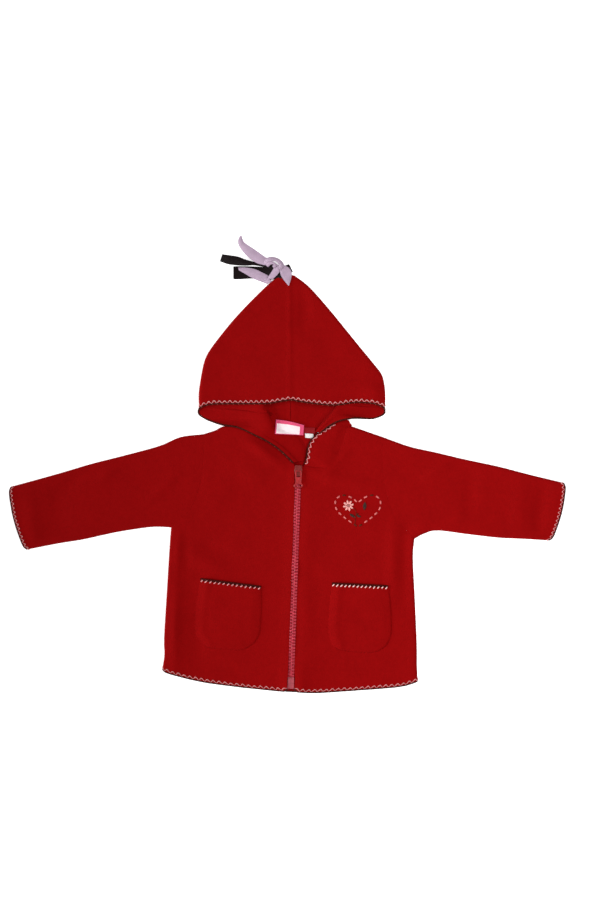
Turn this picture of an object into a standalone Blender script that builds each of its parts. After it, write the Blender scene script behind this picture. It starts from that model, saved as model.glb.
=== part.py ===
"""Baby's hooded fleece jacket, laid flat and zipped up, on the surface z = 0.

Frame: metres, +Z up, +Y towards the hood, +X towards the wearer's left.
The tables below are in millimetres and are scaled once, where a mesh is made.
The body and the sleeves are flattened tubes: one height field carries their top
walls and another their undersides, so neighbouring panels meet at their seams.
"""

import math
from collections import namedtuple

import bmesh
import bpy
from mathutils import Matrix, Vector

# ---------------------------------------------------------------- driving sizes
MM = 0.001                # one millimetre in metres
WALL = 2.0                # fleece thickness
GAP = 0.3                 # clearance between two pieces
SEAM_Z = 3.0              # height of the side seams
RIM_RUN = 4.0             # run of the rounded side edge, seen from above
TOP_Z = 5.3               # outer height of the top wall, away from the edges
ROLL_Z = 0.7              # extra height of the top wall just inside an edge
ROLL_RUN = 22.0           # distance over which that extra height fades

EDGING_RADIUS = 1.3       # overlocked edge, as a cord on the cut edge
TAPE_WALL = 0.6           # zip tape and neck tape
TRIM_WALL = 0.6           # labels
RIBBON_WALL = 1.0
RIBBON_WIDTH = 10.0

ZIP_TOP = (12.2, -1.0)    # where the closed chain enters the slider
ZIP_FOOT = (3.0, -259.0)  # lower end of the chain's line
ZIP_EDGE = 4.2            # half width of the slot between the fronts
CHAIN_HALF = 3.0          # half width of the closed chain
CHAIN_RISE = 2.6
TAPE_BASE = 2.4           # underside of the zip tape
TAPE_HALF = 14.0

FRAME_SHIFT = (0.22, 1.07)  # moves the tables' origin to the middle of the part

# Body and sleeves
HEM_INSET = 2.0 * EDGING_RADIUS + 4.0 * GAP  # cut edge above the hem's line
RIM_UPRIGHT = 0.6         # upright stretch of a wall where it meets a seam
FOLD_FADE = 14.0          # run over which folds die out beside a seam
SLOT_FOOT_RISE = 1.2      # height of the fronts' slot above the chain's foot
CUFF_BOW = (2.6, 0.4)     # how far the cuff's middle bows outwards
SEAM_PLAY = 4.0 * GAP     # clearance of a sleeve from its armhole

# Hood
HOOD_SEAM_X = 1.7         # centre seam
HOOD_PEAK = (-4.6, 220.0)
PEAK_HALF = 1.2           # half width of the blunt peak
BROW_RISE = 4.6           # how far the front of the hood stands above its upper part
BROW_FADE = 55.0          # run over which that rise fades, towards the peak
CREST_REACH = 5.2         # plan length of the steep side of the crest
RIDGE_WIDTH = 13.0        # width of the crest where it runs on inside the hood
RIDGE_FADE = 0.10         # share of the hood's height over which it dies out
TURN_BULGE = 0.9          # rise of the turned neck end between its edges
TIP_REACH = 1.5           # extra reach of the edging round the opening's folded tips
TIP_DROP = 1.3            # and its extra clearance below the front, beside them

# Zip slider and pull tab
SLIDER_LENGTH = 13.0
SLIDER_WIDTH = 9.4
SLIDER_TOP = 7.6          # height of the slider's top plate
SLIDER_MID_Y = -7.8
STEM_TOP = 6.3            # underside of the slider's top plate
BRIDGE_WIRE = 0.8         # radius of the bridge's wire
BRIDGE_HALF = 3.6         # half length of the slider's bridge
BRIDGE_RISE = 3.0
BAR_RADIUS = 0.55
BAR_LIFT = 1.05           # height of the tab's bar above the slider's plate
TAB_WALL = 1.1
TAB_WIDTH = 8.0
TAB_WAIST = 0.88          # width of the tab's waist, as a share of its width
WAIST_DROP = 12.6         # from the bar down to the waist
TAB_WINDOW = 5.2          # length of the window that the bridge stands in
RING_DROP = 17.0          # from the bar down to the middle of the tab's ring
RING_HALF = (5.4, 3.2)    # half width and half height of the ring
RING_HOLE_HALF = (3.4, 1.6)
RING_START = 40.0         # degrees above level at which the ring leaves the waist
BOX_LENGTH = 13.5         # bottom box of the zip
BOX_RISE = 3.4

# Labels, as middle, size and turn about the vertical
NECK_TAPE_MIDDLE = (9.8, 39.6)
NECK_TAPE_SIZE = (24.6, 6.6)
NECK_LABEL_MIDDLE = (3.7, 42.4)
NECK_LABEL_SIZE = (29.0, 15.0)
NECK_LABEL_TURN = -0.16
SIZE_LABEL_MIDDLE = (23.9, 31.0)
SIZE_LABEL_SIZE = (8.2, 4.4)
SIZE_LABEL_TURN = -0.05

# Ribbon knot at the hood's peak
KNOT_CENTRE = (-10.4, 227.6, 4.6)
KNOT_RADII = (6.2, 5.0, 4.3)

# ---------------------------------------------------------------- outline tables
Point = namedtuple("Point", "x y")

LEFT_SHOULDER = [Point(62.0, 44.5), Point(72.0, 43.6), Point(88.0, 38.3), Point(109.0, 31.0)]
LEFT_ARM_TOP = [
    Point(109.0, 31.0), Point(140.0, 20.0), Point(168.5, 13.6), Point(205.0, 4.6),
    Point(242.0, -3.7), Point(279.0, -13.0), Point(316.5, -21.5),
]
LEFT_ARM_LOW = [
    Point(145.5, -86.0), Point(157.0, -80.0), Point(172.0, -76.6), Point(205.0, -80.6),
    Point(242.0, -84.9), Point(270.0, -86.2), Point(300.4, -88.0),
]
LEFT_SIDE = [
    Point(145.5, -86.0), Point(143.8, -108.0), Point(146.0, -155.0), Point(148.2, -205.0),
    Point(147.8, -228.0), Point(149.3, -250.5),
]
RIGHT_SHOULDER = [Point(-42.0, 44.5), Point(-72.0, 43.8), Point(-84.0, 38.6), Point(-98.0, 34.2)]
RIGHT_ARM_TOP = [
    Point(-98.0, 34.2), Point(-124.0, 30.4), Point(-148.0, 20.2), Point(-190.0, 9.4),
    Point(-227.0, 0.0), Point(-264.0, -11.0), Point(-317.0, -26.2),
]
RIGHT_ARM_LOW = [
    Point(-134.5, -73.0), Point(-153.0, -72.3), Point(-172.0, -74.4), Point(-200.0, -79.0),
    Point(-236.0, -86.9), Point(-264.0, -91.4), Point(-298.0, -98.6),
]
RIGHT_SIDE = [
    Point(-134.5, -73.0), Point(-136.5, -99.5), Point(-139.3, -145.0), Point(-142.6, -200.0),
    Point(-141.7, -219.0), Point(-143.8, -236.5),
]
# Armhole seams, from the shoulder down to the underarm.
LEFT_ARMHOLE = [
    Point(109.0, 31.0), Point(108.0, 4.0), Point(111.5, -28.0), Point(123.0, -60.0),
    Point(145.5, -86.0),
]
RIGHT_ARMHOLE = [
    Point(-98.0, 34.2), Point(-97.5, 8.0), Point(-101.0, -22.0), Point(-112.5, -52.0),
    Point(-134.5, -73.0),
]
HEM = [
    Point(-143.8, -236.5), Point(-135.0, -240.2), Point(-100.0, -249.6), Point(-55.0, -256.0),
    Point(-8.0, -261.0), Point(14.0, -262.2), Point(37.0, -262.6), Point(95.0, -258.9),
    Point(130.0, -256.0), Point(149.3, -250.5),
]
# Necklines of the two fronts, from the zip up to the shoulder.
LEFT_NECK = [
    Point(16.0, -2.5), Point(38.0, -4.6), Point(51.5, -2.0), Point(59.5, 16.0),
    Point(65.5, 34.0), Point(66.5, 44.3),
]
RIGHT_NECK = [
    Point(8.0, -2.5), Point(-3.5, 14.5), Point(-14.5, 24.0), Point(-28.0, 32.5),
    Point(-42.0, 44.5),
]
BACK_NECK = [Point(-42.0, 44.5), Point(-15.0, 33.7), Point(33.0, 33.7), Point(62.0, 44.5)]

# Largest folds of the top wall: a soft ridge (rise > 0) or trough (rise < 0).
Fold = namedtuple("Fold", "x0 y0 x1 y1 half_width rise")
FOLDS = [
    Fold(-127.0, -90.0, -128.0, -122.0, 6.0, 1.6),
    Fold(-116.0, -88.0, -117.0, -112.0, 6.0, -0.9),
    Fold(-116.0, -158.0, -116.0, -220.0, 8.0, -0.8),
    Fold(-126.0, -80.0, -62.0, -108.0, 9.0, -0.7),
    Fold(133.0, -66.0, 133.0, -200.0, 8.0, -0.8),
    Fold(20.0, -10.0, 98.0, -26.0, 9.0, 0.9),
    Fold(-260.0, -22.0, -236.0, -12.0, 8.0, -0.9),
    Fold(-126.0, -12.0, -166.0, -46.0, 8.0, 1.0),
    Fold(190.0, 3.0, 160.0, -15.0, 8.0, 1.1),
    Fold(199.0, -10.0, 208.0, -64.0, 9.0, -0.8),
]

MATERIALS = {
    "fleece": ((0.30, 0.006, 0.006, 1.0), 0.95, 0.0),
    "dark_thread": ((0.022, 0.012, 0.010, 1.0), 0.80, 0.0),
    "zip_tape": ((0.36, 0.010, 0.014, 1.0), 0.80, 0.0),
    "zip_plastic": ((0.48, 0.070, 0.090, 1.0), 0.35, 0.0),
    "neck_tape": ((0.42, 0.012, 0.016, 1.0), 0.80, 0.0),
    "pink_label": ((0.80, 0.10, 0.25, 1.0), 0.55, 0.0),
    "white_label": ((0.82, 0.80, 0.78, 1.0), 0.60, 0.0),
    "lilac_ribbon": ((0.48, 0.34, 0.58, 1.0), 0.40, 0.0),
    "dark_ribbon": ((0.018, 0.009, 0.012, 1.0), 0.45, 0.0),
}


# ---------------------------------------------------------------- small maths
def smooth(points, count):
    """Points evenly spaced in parameter along a smooth curve through the given ones."""
    path = [Vector(p) for p in points]
    spans = len(path) - 1
    result = []
    for step in range(count):
        place = step * spans / (count - 1)
        span = min(int(place), spans - 1)
        t = place - span
        p1 = path[span]
        p2 = path[span + 1]
        p0 = path[span - 1] if span > 0 else p1 * 2.0 - p2
        p3 = path[span + 2] if span + 2 <= spans else p2 * 2.0 - p1
        result.append(0.5 * (2.0 * p1 + (p2 - p0) * t
                             + (2.0 * p0 - 5.0 * p1 + 4.0 * p2 - p3) * t * t
                             + (3.0 * p1 - p0 - 3.0 * p2 + p3) * t ** 3))
    return result


def along(path, share):
    """Point at a share of a polyline's length, 0 at its start and 1 at its end."""
    lengths = [(b - a).length for a, b in zip(path, path[1:])]
    left = share * sum(lengths)
    for start, end, length in zip(path, path[1:], lengths):
        if left <= length:
            return start.lerp(end, left / length)
        left -= length
    return path[-1].copy()


def path_length(path):
    """Length of a polyline."""
    return sum((b - a).length for a, b in zip(path, path[1:]))


def segment_distance(x, y, a, b):
    """Distance in plan from a point to the straight run from a to b, and its share."""
    run_x = b[0] - a[0]
    run_y = b[1] - a[1]
    share = ((x - a[0]) * run_x + (y - a[1]) * run_y) / (run_x * run_x + run_y * run_y)
    share = max(0.0, min(1.0, share))
    return math.hypot(x - a[0] - share * run_x, y - a[1] - share * run_y), share


def ease(value):
    """Smooth step from 0 to 1 on the interval 0 to 1."""
    value = max(0.0, min(1.0, value))
    return value * value * (3.0 - 2.0 * value)


def zip_x(y):
    """The zip's line: its x at a height y on the body."""
    share = (y - ZIP_FOOT[1]) / (ZIP_TOP[1] - ZIP_FOOT[1])
    return ZIP_FOOT[0] + share * (ZIP_TOP[0] - ZIP_FOOT[0])


# Folded or seamed outline of the body and the sleeves; the hem, cuffs and neck are open.
LEFT_EDGES = {
    "shoulder": smooth(LEFT_SHOULDER, 12),
    "arm_top": smooth(LEFT_ARM_TOP, 24),
    "arm_low": smooth(LEFT_ARM_LOW, 24),
    "side": smooth(LEFT_SIDE, 24),
}
RIGHT_EDGES = {
    "shoulder": smooth(RIGHT_SHOULDER, 12),
    "arm_top": smooth(RIGHT_ARM_TOP, 24),
    "arm_low": smooth(RIGHT_ARM_LOW, 24),
    "side": smooth(RIGHT_SIDE, 24),
}
CLOSED_EDGES = list(LEFT_EDGES.values()) + list(RIGHT_EDGES.values())


def edge_distance(x, y):
    """Distance from a place on the body or a sleeve to its closed outline."""
    nearest = 1000.0
    for path in CLOSED_EDGES:
        for a, b in zip(path, path[1:]):
            if min(abs(x - a.x), abs(y - a.y)) < nearest:
                nearest = min(nearest, segment_distance(x, y, a, b)[0])
    return nearest


def fold_rise(x, y):
    """Height that the named folds add to the top wall."""
    total = 0.0
    for fold in FOLDS:
        distance, share = segment_distance(x, y, (fold.x0, fold.y0), (fold.x1, fold.y1))
        end_fade = 0.35 + 0.65 * math.sin(math.pi * share)
        total += fold.rise * end_fade * math.exp(-(distance / fold.half_width) ** 2)
    return total


def rim_share(distance):
    """Quarter round of the side edge: 0 on the outline, 1 once the wall is level."""
    inside = 1.0 - min(distance, RIM_RUN) / RIM_RUN
    return math.sqrt(max(0.0, 1.0 - inside * inside))


def top_height(x, y):
    """Outer height of the top wall of the body and the sleeves."""
    distance = edge_distance(x, y)
    level = TOP_Z + ROLL_Z * math.exp(-max(0.0, distance - RIM_RUN) / ROLL_RUN)
    level += fold_rise(x, y) * ease(distance / FOLD_FADE)
    return SEAM_Z + GAP / 2 + (level - SEAM_Z - GAP / 2) * rim_share(distance)


def under_height(x, y):
    """Height of the underside: flat on the table, rounding up to the side seam."""
    return (SEAM_Z - GAP / 2) * (1.0 - rim_share(edge_distance(x, y)))


# ---------------------------------------------------------------- hood tables
# Lower part of each half, from the zip up to the tip of the opening. Each row runs from
# the cut edge over the rolled crest to the neck or centre seam; z is the underside.
HoodRow = namedtuple(
    "HoodRow", "edge_x edge_y edge_z crest_x crest_y crest_z end_x end_y end_z"
)
HOOD_RIGHT_ROWS = [
    HoodRow(7.4, 1.6, 6.4, 8.8, 3.4, 6.6, 12.4, 4.8, 3.0),
    HoodRow(-6.5, 15.2, 6.8, -0.5, 16.5, 8.0, 6.5, 18.0, 2.6),
    HoodRow(-19.3, 24.6, 7.0, -9.5, 26.5, 8.6, -0.5, 29.0, 2.5),
    HoodRow(-35.0, 33.2, 7.0, -16.0, 33.5, 9.0, -7.5, 34.8, 2.5),
    HoodRow(-52.5, 42.0, 7.7, -18.5, 39.5, 9.2, -5.0, 35.2, 0.8),
    HoodRow(-72.8, 46.6, 5.0, -20.0, 44.5, 9.0, HOOD_SEAM_X, 35.4, 0.0),
    HoodRow(-88.2, 51.8, 1.2, -22.5, 51.0, 8.2, HOOD_SEAM_X, 42.5, 0.0),
    HoodRow(-99.3, 57.2, 0.8, -26.0, 58.0, 7.0, HOOD_SEAM_X, 50.5, 0.0),
]
HOOD_LEFT_ROWS = [
    HoodRow(41.5, 41.8, 9.0, 38.5, 43.4, 9.3, 33.0, 35.4, 0.6),
    HoodRow(51.5, 47.8, 9.1, 44.0, 49.0, 9.6, 18.0, 35.0, 0.0),
    HoodRow(59.5, 50.8, 9.1, 47.5, 53.0, 9.6, HOOD_SEAM_X, 35.4, 0.0),
    HoodRow(72.0, 52.8, 8.0, 50.5, 57.0, 9.2, HOOD_SEAM_X, 41.5, 0.0),
    HoodRow(84.0, 53.0, 4.0, 53.5, 61.0, 8.2, HOOD_SEAM_X, 47.5, 0.0),
    HoodRow(95.5, 53.6, 1.4, 56.0, 64.5, 7.2, HOOD_SEAM_X, 53.5, 0.0),
    HoodRow(106.4, 57.4, 0.8, 58.5, 67.5, 6.4, HOOD_SEAM_X, 59.5, 0.0),
]
# The front of the opening, from the tip to the centre seam, and the folded outline.
RIGHT_BROW = [
    Point(-100.8, 66.6), Point(-95.6, 70.6), Point(-88.0, 73.4), Point(-74.0, 74.6),
    Point(-27.0, 74.8), Point(-9.7, 77.4), Point(HOOD_SEAM_X, 79.6),
]
LEFT_BROW = [
    Point(110.0, 66.8), Point(104.6, 71.4), Point(96.0, 75.4), Point(78.0, 76.2),
    Point(51.0, 72.8), Point(20.7, 76.4), Point(HOOD_SEAM_X, 79.6),
]
RIGHT_OUTLINE = [
    Point(-100.8, 66.6), Point(-101.4, 82.0), Point(-98.6, 104.0), Point(-94.8, 121.0),
    Point(-86.0, 136.0), Point(-59.5, 168.5), Point(-25.5, 203.0), Point(-7.6, 219.0),
]
LEFT_OUTLINE = [
    Point(110.0, 66.8), Point(111.2, 85.0), Point(108.4, 101.0), Point(99.0, 114.8),
    Point(77.5, 141.0), Point(49.5, 175.5), Point(24.5, 203.6), Point(5.0, 218.6),
]
# The left neck end of the hood stands outer side up, from the neck seam to its cut edge.
TurnRow = namedtuple("TurnRow", "edge_x edge_y edge_z seam_x seam_y seam_z")
HOOD_TURN_ROWS = [
    TurnRow(20.8, 1.0, 4.6, 24.0, -2.4, 3.3),
    TurnRow(23.2, 7.0, 5.0, 38.0, -3.8, 3.3),
    TurnRow(24.2, 15.8, 5.4, 48.6, -0.4, 3.3),
    TurnRow(26.8, 24.0, 5.6, 55.6, 14.6, 3.4),
    TurnRow(31.6, 30.5, 5.7, 60.0, 24.4, 3.5),
    TurnRow(38.8, 36.4, 5.7, 63.6, 33.5, 3.6),
    TurnRow(47.0, 41.0, 5.7, 65.4, 43.4, 3.6),
    TurnRow(53.0, 45.0, 5.7, 68.6, 48.6, 3.6),
]

# Ribbon ends: material, then the middle line's points (x, y, z) from the knot outwards.
RIBBONS = {
    "ribbon_lilac_long": ("lilac_ribbon", [
        (-17.0, 231.0, 6.2), (-26.0, 233.4, 6.0), (-35.5, 237.6, 6.6), (-45.4, 243.8, 7.2),
        (-51.6, 252.2, 6.6), (-53.6, 259.6, 5.6),
    ]),
    "ribbon_lilac_side": ("lilac_ribbon", [
        (-24.6, 212.6, 2.6), (-34.5, 217.0, 1.9), (-46.0, 221.6, 1.7), (-56.6, 225.0, 1.7),
    ]),
    "ribbon_lilac_tail": ("lilac_ribbon", [
        (-4.6, 222.6, 9.6), (-3.0, 217.6, 9.8), (-1.2, 212.4, 9.0), (0.6, 206.0, 8.0),
    ]),
    "ribbon_dark_long": ("dark_ribbon", [
        (-18.6, 229.2, 3.4), (-32.2, 230.8, 3.6), (-46.0, 231.6, 3.6), (-60.0, 233.8, 3.6),
        (-76.0, 237.4, 3.4),
    ]),
    "ribbon_dark_side": ("dark_ribbon", [
        (-19.4, 223.4, 0.6), (-30.0, 221.8, 0.6), (-46.0, 220.8, 0.6), (-61.0, 220.4, 0.6),
    ]),
    "ribbon_dark_tail": ("dark_ribbon", [
        (-2.2, 224.8, 3.2), (0.6, 226.0, 3.0), (3.8, 227.3, 2.8),
    ]),
}


# ---------------------------------------------------------------- scene helpers
def clear_scene():
    """Remove whatever the file holds."""
    for thing in list(bpy.data.objects):
        bpy.data.objects.remove(thing, do_unlink=True)


def make_material(name):
    """The named material, made once."""
    material = bpy.data.materials.get(name)
    if material is None:
        colour, roughness, metallic = MATERIALS[name]
        material = bpy.data.materials.new(name)
        material.use_nodes = True
        shader = material.node_tree.nodes["Principled BSDF"]
        shader.inputs["Base Color"].default_value = colour
        shader.inputs["Roughness"].default_value = roughness
        shader.inputs["Metallic"].default_value = metallic
    return material


def finish(thing, name, material, smooth_sides=True):
    """Name an object, dress it and put it in the jacket's collection."""
    thing.name = name
    thing.data.name = name
    thing.data.materials.clear()
    thing.data.materials.append(make_material(material))
    if smooth_sides and thing.type == "MESH":
        thing.data.shade_smooth()
    for holder in list(thing.users_collection):
        holder.objects.unlink(thing)
    JACKET.objects.link(thing)
    return thing


def sheet(name, rows, material, wall, outward, keep=None):
    """A wall on a grid whose rows of points are given; keep says which cells stay.

    The points are the outer side: outward is +1 where it faces up, -1 where it faces
    down, and 0 on a tube, which faces up above its seams and down below them.
    """
    row_count = len(rows)
    column_count = len(rows[0])
    bpy.ops.mesh.primitive_grid_add(
        x_subdivisions=column_count - 1, y_subdivisions=row_count - 1, size=1.0
    )
    thing = bpy.context.object
    body = bmesh.new()
    body.from_mesh(thing.data)
    body.verts.ensure_lookup_table()
    places = {}
    for row in range(row_count):
        for column in range(column_count):
            vert = body.verts[row * column_count + column]
            places[vert] = (row, column)
            x, y, z = rows[row][column]
            vert.co = Vector((x + FRAME_SHIFT[0], y + FRAME_SHIFT[1], z)) * MM
    if keep is not None:
        dropped = []
        for face in body.faces:
            row = min(places[vert][0] for vert in face.verts)
            column = min(places[vert][1] for vert in face.verts)
            if not keep(row, column):
                dropped.append(face)
        bmesh.ops.delete(body, geom=dropped, context="FACES")
    bmesh.ops.remove_doubles(body, verts=body.verts, dist=0.00001)
    body.normal_update()
    lift = 0.0
    for face in body.faces:
        side = outward if outward else face.calc_center_median().z - SEAM_Z * MM
        lift += face.normal.z * face.calc_area() * side
    if lift < 0.0:
        bmesh.ops.reverse_faces(body, faces=body.faces)
    body.to_mesh(thing.data)
    body.free()
    thicken = thing.modifiers.new("wall", "SOLIDIFY")
    thicken.thickness = wall * MM
    thicken.offset = -1.0
    return finish(thing, name, material)


def cord(name, points, material, radius, closed=False):
    """A thread edging as a bevelled curve through the points."""
    curve = bpy.data.curves.new(name, "CURVE")
    curve.dimensions = "3D"
    curve.bevel_depth = radius * MM
    curve.bevel_resolution = 0
    curve.use_fill_caps = not closed
    line = curve.splines.new("POLY")
    line.points.add(len(points) - 1)
    line.use_cyclic_u = closed
    for knot, (x, y, z) in zip(line.points, points):
        knot.co = ((x + FRAME_SHIFT[0]) * MM, (y + FRAME_SHIFT[1]) * MM, z * MM, 1.0)
    thing = bpy.data.objects.new(name, curve)
    bpy.context.scene.collection.objects.link(thing)
    return finish(thing, name, material, smooth_sides=False)


def box(name, centre, size, material, turn=0.0, bevel=0.0):
    """A block, centre and size in millimetres, turned about the vertical."""
    bpy.ops.mesh.primitive_cube_add(size=1.0)
    thing = bpy.context.object
    thing.data.transform(Matrix.Diagonal(Vector((size[0], size[1], size[2], 1.0 / MM)) * MM))
    thing.location = Vector(
        (centre[0] + FRAME_SHIFT[0], centre[1] + FRAME_SHIFT[1], centre[2])
    ) * MM
    thing.rotation_euler = (0.0, 0.0, turn)
    if bevel > 0.0:
        round_off = thing.modifiers.new("edges", "BEVEL")
        round_off.width = bevel * MM
        round_off.segments = 2
    return finish(thing, name, material, smooth_sides=False)


# ---------------------------------------------------------------- body and sleeves
def patch(bottom, top, left, right, across, up):
    """Rows of (x, y) filling four boundary paths; left and right run upwards."""
    rows = []
    for v in up:
        row = []
        for u in across:
            blend = along(bottom, u) * (1.0 - v) + along(top, u) * v
            blend += along(left, v) * (1.0 - u) + along(right, v) * u
            blend -= (bottom[0] * (1.0 - u) + bottom[-1] * u) * (1.0 - v)
            blend -= (top[0] * (1.0 - u) + top[-1] * u) * v
            row.append(blend)
        rows.append(row)
    return rows


def inset(points, shift_x, shift_y):
    """A table of points moved by a fixed step."""
    return [Vector((p[0] + shift_x, p[1] + shift_y)) for p in points]


def hem_between(x_from, x_to, count=14):
    """The cloth's lower edge between two places, just above the hem's edging."""
    line = smooth(HEM, 60)
    points = []
    for step in range(count):
        x = x_from + (x_to - x_from) * step / (count - 1)
        for a, b in zip(line, line[1:]):
            if a.x <= x <= b.x:
                share = (x - a.x) / (b.x - a.x)
                points.append(Vector((x, a.y + share * (b.y - a.y) + HEM_INSET)))
                break
    return points


# Places of the panels' rows and columns, as shares of their edges.
BACK_UP_SHARES = [
    0.0, 0.07, 0.16, 0.27, 0.38, 0.48, 0.56, 0.64, 0.73, 0.82, 0.90, 0.955, 0.985, 0.996, 1.0, 1.0,
]
SLOT_SHARES = [0.0, 0.10, 0.23, 0.36, 0.49, 0.62, 0.74, 0.86, 0.95]
NECK_SHARES = [0.0, 0.22, 0.42, 0.60, 0.76, 0.90, 0.975, 1.0, 1.0]
OUT_SHARES = [0.0, 0.10, 0.24, 0.40, 0.56, 0.72, 0.85, 0.94, 0.975, 0.994, 1.0, 1.0]


def side_path(side, armhole):
    """A side seam and its armhole as one path, from the hem up to the shoulder."""
    lower = list(reversed(side))
    upper = list(reversed(smooth(armhole, 20)))
    path = lower[:-1] + upper
    path[0] = path[0].lerp(path[1], HEM_INSET / (path[1] - path[0]).length)
    return path


def square_up_rims(points, lift, sides):
    """Make the last stretch of each seamed side upright.

    The outermost places come to the seam's height and the ones doubled beside them stand
    above it (lift 1) or below it (lift -1), wherever the wall reaches the seam.
    """
    row_count = len(points)
    pairs = []
    for row in range(row_count):
        for outermost, doubled in sides:
            pairs.append(((row, outermost), (row, doubled)))
    for column in range(len(points[0])):
        pairs.append(((row_count - 1, column), (row_count - 2, column)))
    for (end_row, end_column), (row, column) in pairs:
        x, y, z = points[end_row][end_column]
        if abs(z - SEAM_Z) < 1.0:
            points[end_row][end_column] = (x, y, SEAM_Z + lift * GAP / 2)
            points[row][column] = (x, y, SEAM_Z + lift * (GAP / 2 + RIM_UPRIGHT))


def front_panel(name, sign, edges, armhole, neck):
    """One front, from the zip's slot out to the side seam and up to the shoulder."""
    outer = side_path(edges["side"], armhole)
    slot = [Vector((zip_x(y) + sign * ZIP_EDGE, y)) for y in (ZIP_FOOT[1] + SLOT_FOOT_RISE, -120.0, -4.5)]
    neckline = smooth(neck, 20)
    inner = slot + neckline
    corner = 1.0 - path_length(neckline) / path_length(inner)
    up = [corner * share for share in SLOT_SHARES]
    up += [corner + (1.0 - corner) * share for share in NECK_SHARES]
    if sign > 0:
        bottom = hem_between(inner[0].x, outer[0].x)
    else:
        bottom = list(reversed(hem_between(outer[0].x, inner[0].x)))
    bottom[0] = inner[0]
    bottom[-1] = outer[0]
    top = [inner[-1]] + [p for p in edges["shoulder"] if abs(p.x) > abs(inner[-1].x) + 0.5]
    top[-1] = outer[-1]
    rows = patch(bottom, top, inner, outer, OUT_SHARES, up)
    points = [[(p.x, p.y, top_height(p.x, p.y)) for p in row] for row in rows]
    square_up_rims(points, 1.0, sides=((-1, -2),))
    return sheet(name, points, "fleece", WALL, 1)


def back_panel():
    """The back, flat on the table, from hem to shoulders and across the back neck."""
    left = side_path(RIGHT_EDGES["side"], RIGHT_ARMHOLE)
    right = side_path(LEFT_EDGES["side"], LEFT_ARMHOLE)
    bottom = hem_between(left[0].x, right[0].x, 20)
    bottom[0] = left[0]
    bottom[-1] = right[0]
    top = list(reversed(RIGHT_EDGES["shoulder"])) + [Vector(p) for p in BACK_NECK[1:3]]
    top += LEFT_EDGES["shoulder"]
    across = [0.0, 0.004, 0.013, 0.03, 0.10, 0.2, 0.3, 0.4, 0.5]
    across += [1.0 - u for u in reversed(across[:-1])]
    rows = patch(bottom, top, left, right, [0.0] + across + [1.0], BACK_UP_SHARES)
    points = [[(p.x, p.y, under_height(p.x, p.y)) for p in row] for row in rows]
    square_up_rims(points, -1.0, sides=((0, 1), (-1, -2)))
    return sheet("back", points, "fleece", WALL, -1)


def sleeve(name, sign, edges, armhole):
    """A sleeve as a flattened tube from the armhole to the cuff, both ends open."""
    seam = inset(smooth(armhole, 20), sign * SEAM_PLAY, 0.0)
    upper = list(edges["arm_top"])
    lower = list(edges["arm_low"])
    upper[0] = seam[0]
    lower[0] = seam[-1]
    bow = Vector((sign * CUFF_BOW[0], CUFF_BOW[1]))
    cuff = smooth([upper[-1], (upper[-1] + lower[-1]) / 2 + bow, lower[-1]], 12)
    shares = [0.0, 0.008, 0.025, 0.06, 0.18, 0.34, 0.5, 0.66, 0.82, 0.94, 0.975, 0.992, 1.0]
    lengths = [0.0, 0.12, 0.27, 0.42, 0.57, 0.72, 0.87, 1.0]
    plan = patch(seam, cuff, upper, lower, shares, lengths)
    points = []
    for row in plan:
        ring = [(p.x, p.y, top_height(p.x, p.y)) for p in row]
        ring += [(p.x, p.y, under_height(p.x, p.y)) for p in reversed(row)]
        ring.append(ring[0])
        points.append(ring)
    sheet(name, points, "fleece", WALL, 0)
    return cuff


# ---------------------------------------------------------------- hood
FRONT_SHARES = [0.0, 0.16, 0.36, 0.56, 0.76, 0.90, 0.965, 0.992]
BACK_SHARES = [1.0, 0.992, 0.965, 0.90, 0.76, 0.58, 0.40, 0.20, 0.0]
SECTION_PLACES = [0, 3, 8, 14, 20, 25, 30, 35, 40]
CLIMB_SHARES = [0.0, 0.06, 0.16, 0.30, 0.46, 0.62, 0.78, 0.90, 0.965]


def path_distance(x, y, path):
    """Distance in plan from a place to a path."""
    return min(segment_distance(x, y, a, b)[0] for a, b in zip(path, path[1:]))


def hood_section(row, seam_x):
    """Points of one lower hood row, from the cut edge over the crest to its end."""
    edge = Vector((row.edge_x, row.edge_y, row.edge_z))
    crest = Vector((row.crest_x, row.crest_y, row.crest_z))
    end = Vector((row.end_x, row.end_y, row.end_z))
    if abs(end.x - HOOD_SEAM_X) < 0.01:
        end.x = seam_x
    run = (end - crest).to_2d()
    reach = min(0.55, CREST_REACH / run.length)
    foot = crest.lerp(end, reach)
    foot.z = end.z + 0.04 * (crest.z - end.z)
    belly = edge.lerp(crest, 0.55)
    belly.z = edge.z + 0.35 * (crest.z - edge.z)
    curve = smooth([edge, belly, crest, foot, end], 41)
    section = [curve[place] for place in SECTION_PLACES]
    for point in section:
        point.z = max(point.z, min(edge.z, end.z))
    return section


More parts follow.
